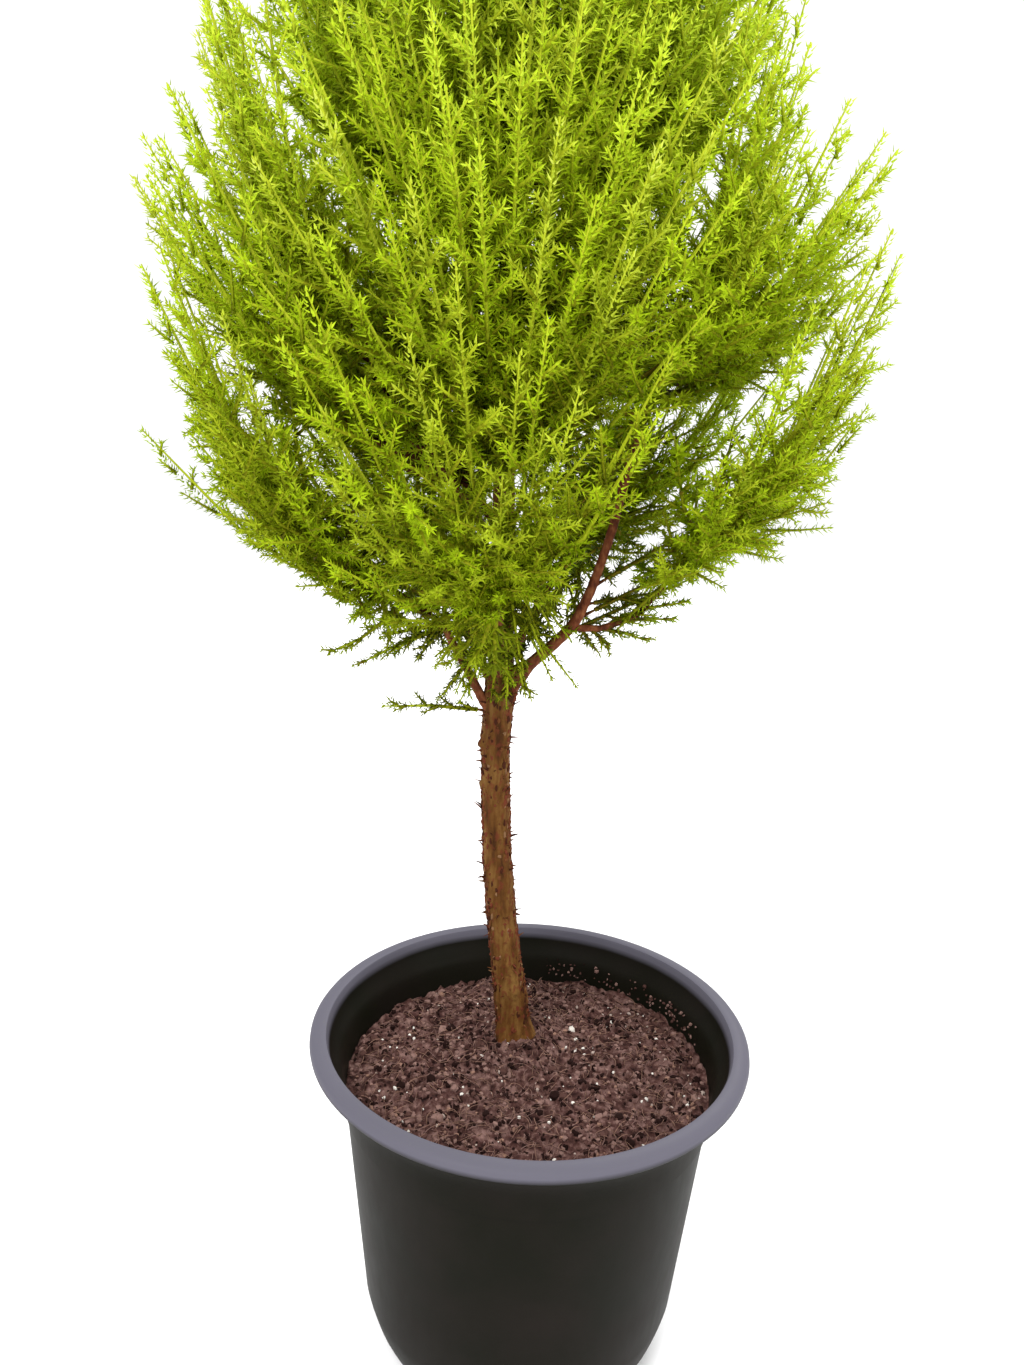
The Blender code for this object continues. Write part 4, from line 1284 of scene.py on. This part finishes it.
def mass_of(masses, tip):
    """The mass whose space a tip lies in."""
    away = tip - CROWN_AXIS
    turn = math.atan2(away.y, away.x)

    def off(sector):
        return abs(math.remainder(turn - math.radians(SECTORS[sector][0]), math.tau))

    sector = min(SECTORS, key=off)
    degrees, lift = SECTORS[sector]
    flat = Vector((away.x, away.y, 0)).dot(out_vector(math.radians(degrees)))
    for number in (2, 1, 0):
        height, slope = FLOORS[number + 1]
        if away.z > height + slope * flat + lift:
            return masses["top"] if number == 2 else masses[f"{TIERS[number + 1]}_{sector}"]
    return masses[f"low_{sector}"]


def thinned(tip, rng):
    """True for a tip that is left out where the crown is open: low down, most of all at the front right."""
    away = tip - CROWN_AXIS
    low = min(max((0.335 - tip.z) / 0.055, 0), 1)
    right = max(0, math.cos(math.atan2(away.y, away.x) + 0.75)) ** 2
    return rng.random() < low * (0.30 + 0.60 * right)


def grow_crown(trunk, carriers):
    masses = make_masses(trunk, carriers)
    rng = random.Random(SEED)
    for tip in spread_tips(OUTER_TIPS, OUTER_REACH, rng):
        if not thinned(tip, rng) and not in_hollow(tip):
            kept = drawn_in(tip)
            away = tip - CROWN_AXIS
            mass_of(masses, tip).plume(CROWN_AXIS + Vector((away.x * kept, away.y * kept * DEPTH, away.z)))
    for degrees, z, reach in WISPS:
        tip = on_crown(math.radians(degrees), reach, z)
        mass_of(masses, tip).plume(tip)
    for count, reach, depth in INNER_TIPS:
        for tip in spread_tips(count, reach, rng):
            if not thinned(tip, rng):
                mass_of(masses, tip).plume(tip, depth, INNER_SIZE)
    hang_shoots(masses, trunk, carriers)
    for name, mass in masses.items():
        mass.twigs.add(mass.stem.start, mass.stem.bend, mass.stem.tip, STEM_RADII[mass.tier], 0.0, 0.2)
    needle_finishes = graded("fresh_needles", FRESH_COLOURS, 0.6, Specular_IOR_Level=0.05)
    needle_finishes += graded("olive_needles", OLIVE_COLOURS, 0.6, Specular_IOR_Level=0.05)
    twig_finishes = graded("twigs", TWIG_COLOURS, 0.7, Specular_IOR_Level=0.06)
    for name, mass in masses.items():
        numbers = np.random.default_rng(SEED + len(mass.shoots.rows))
        needles = mass.shoots.needles(f"{name}_needles", SHADES, numbers)
        shown(f"{name}_needles", needles, needle_finishes, "needles", name)
        twigs = mass.twigs.tubes(f"{name}_twigs", 3, len(TWIG_COLOURS), 0.45)
        shown(f"{name}_twigs", twigs, twig_finishes, "needles")


def make_limbs():
    bark_finish, young = bark(), young_bark()
    trunk = Limb(TRUNK_LINE, 240)
    marks = scars(random.Random(SEED))
    dress_stem(trunk)
    shown("scaly_stem", smooth_mesh("scaly_stem", tube(trunk, 56, trunk_relief(marks)), 60), [bark_finish],
          "bark", "trunk")
    limbs = {
        "right": Limb(RIGHT_BOUGH, 60),
        "left": Limb(LEFT_BOUGH, 30),
        "low_right": Limb(LOW_RIGHT_BRANCH, 16),
    }
    limbs.update({side: hidden_bough(trunk, *numbers) for side, numbers in HIDDEN_BOUGHS.items()})
    for side, limb in limbs.items():
        bm = tube(grown(limb, BRANCH_RUN_ON if side == "low_right" else RUN_ON), 18, bough_relief)
        name = f"{side}_bough"
        shown(f"{name}_bark", smooth_mesh(f"{name}_bark", bm, 60), [young], "bark", name)
    carriers = {f"low_{side}": limbs[side] for side in HIDDEN_BOUGHS}
    carriers["low_left"] = limbs["left"]
    carriers["low_right"] = limbs["low_right"]
    carriers["middle_right"] = limbs["right"]
    return trunk, carriers


# Stage

def make_stage():
    bm = bmesh.new()
    bmesh.ops.create_grid(bm, x_segments=1, y_segments=1, size=6)
    mesh = bpy.data.meshes.new("floor")
    bm.to_mesh(mesh)
    bm.free()
    floor = bpy.data.objects.new("floor", mesh)
    bpy.context.scene.collection.objects.link(floor)
    mesh.materials.append(plain("pale_floor", (0.92, 0.92, 0.92), 0.9))
    world = bpy.data.worlds.new("studio")
    bpy.context.scene.world = world
    world.use_nodes = True
    sky = world.node_tree.nodes["Background"]
    sky.inputs["Color"].default_value = (1, 1, 1, 1)
    sky.inputs["Strength"].default_value = 1.1
    lamp("key", (-0.7, -1.2, 2.0), (0, 0, 0.30), 1.1, 45)
    lamp("fill", (1.3, -0.7, 0.9), (0, 0, 0.25), 1.0, 9)
    lamp("back", (0.5, 1.5, 1.4), (0, 0, 0.35), 1.0, 22)


def lamp(name, place, aim, size, power):
    light = bpy.data.lights.new(name, "AREA")
    light.shape = "DISK"
    light.size = size
    light.energy = power
    made = bpy.data.objects.new(name, light)
    made.location = place
    made.rotation_euler = (Vector(aim) - Vector(place)).to_track_quat("-Z", "Y").to_euler()
    bpy.context.scene.collection.objects.link(made)


def make_camera():
    bpy.context.scene.view_settings.view_transform = "Standard"
    forward = Vector((0, math.cos(CAMERA_PITCH), -math.sin(CAMERA_PITCH)))
    right = Vector((1, 0, 0))
    up = right.cross(forward)
    turned_right = right * math.cos(CAMERA_ROLL) + up * math.sin(CAMERA_ROLL)
    turned_up = up * math.cos(CAMERA_ROLL) - right * math.sin(CAMERA_ROLL)
    data = bpy.data.cameras.new("camera")
    data.lens = CAMERA_LENS
    data.sensor_width = 36
    data.clip_start = 0.01
    camera = bpy.data.objects.new("camera", data)
    turn = Matrix((turned_right, turned_up, -forward)).transposed()
    camera.matrix_world = Matrix.Translation(CAMERA_PLACE) @ turn.to_4x4()
    bpy.context.scene.collection.objects.link(camera)
    bpy.context.scene.camera = camera


make_camera()
make_stage()
make_pot(pot_plastic())
make_soil(peat())
dress_soil()
stem, bough_of = make_limbs()
grow_crown(stem, bough_of)
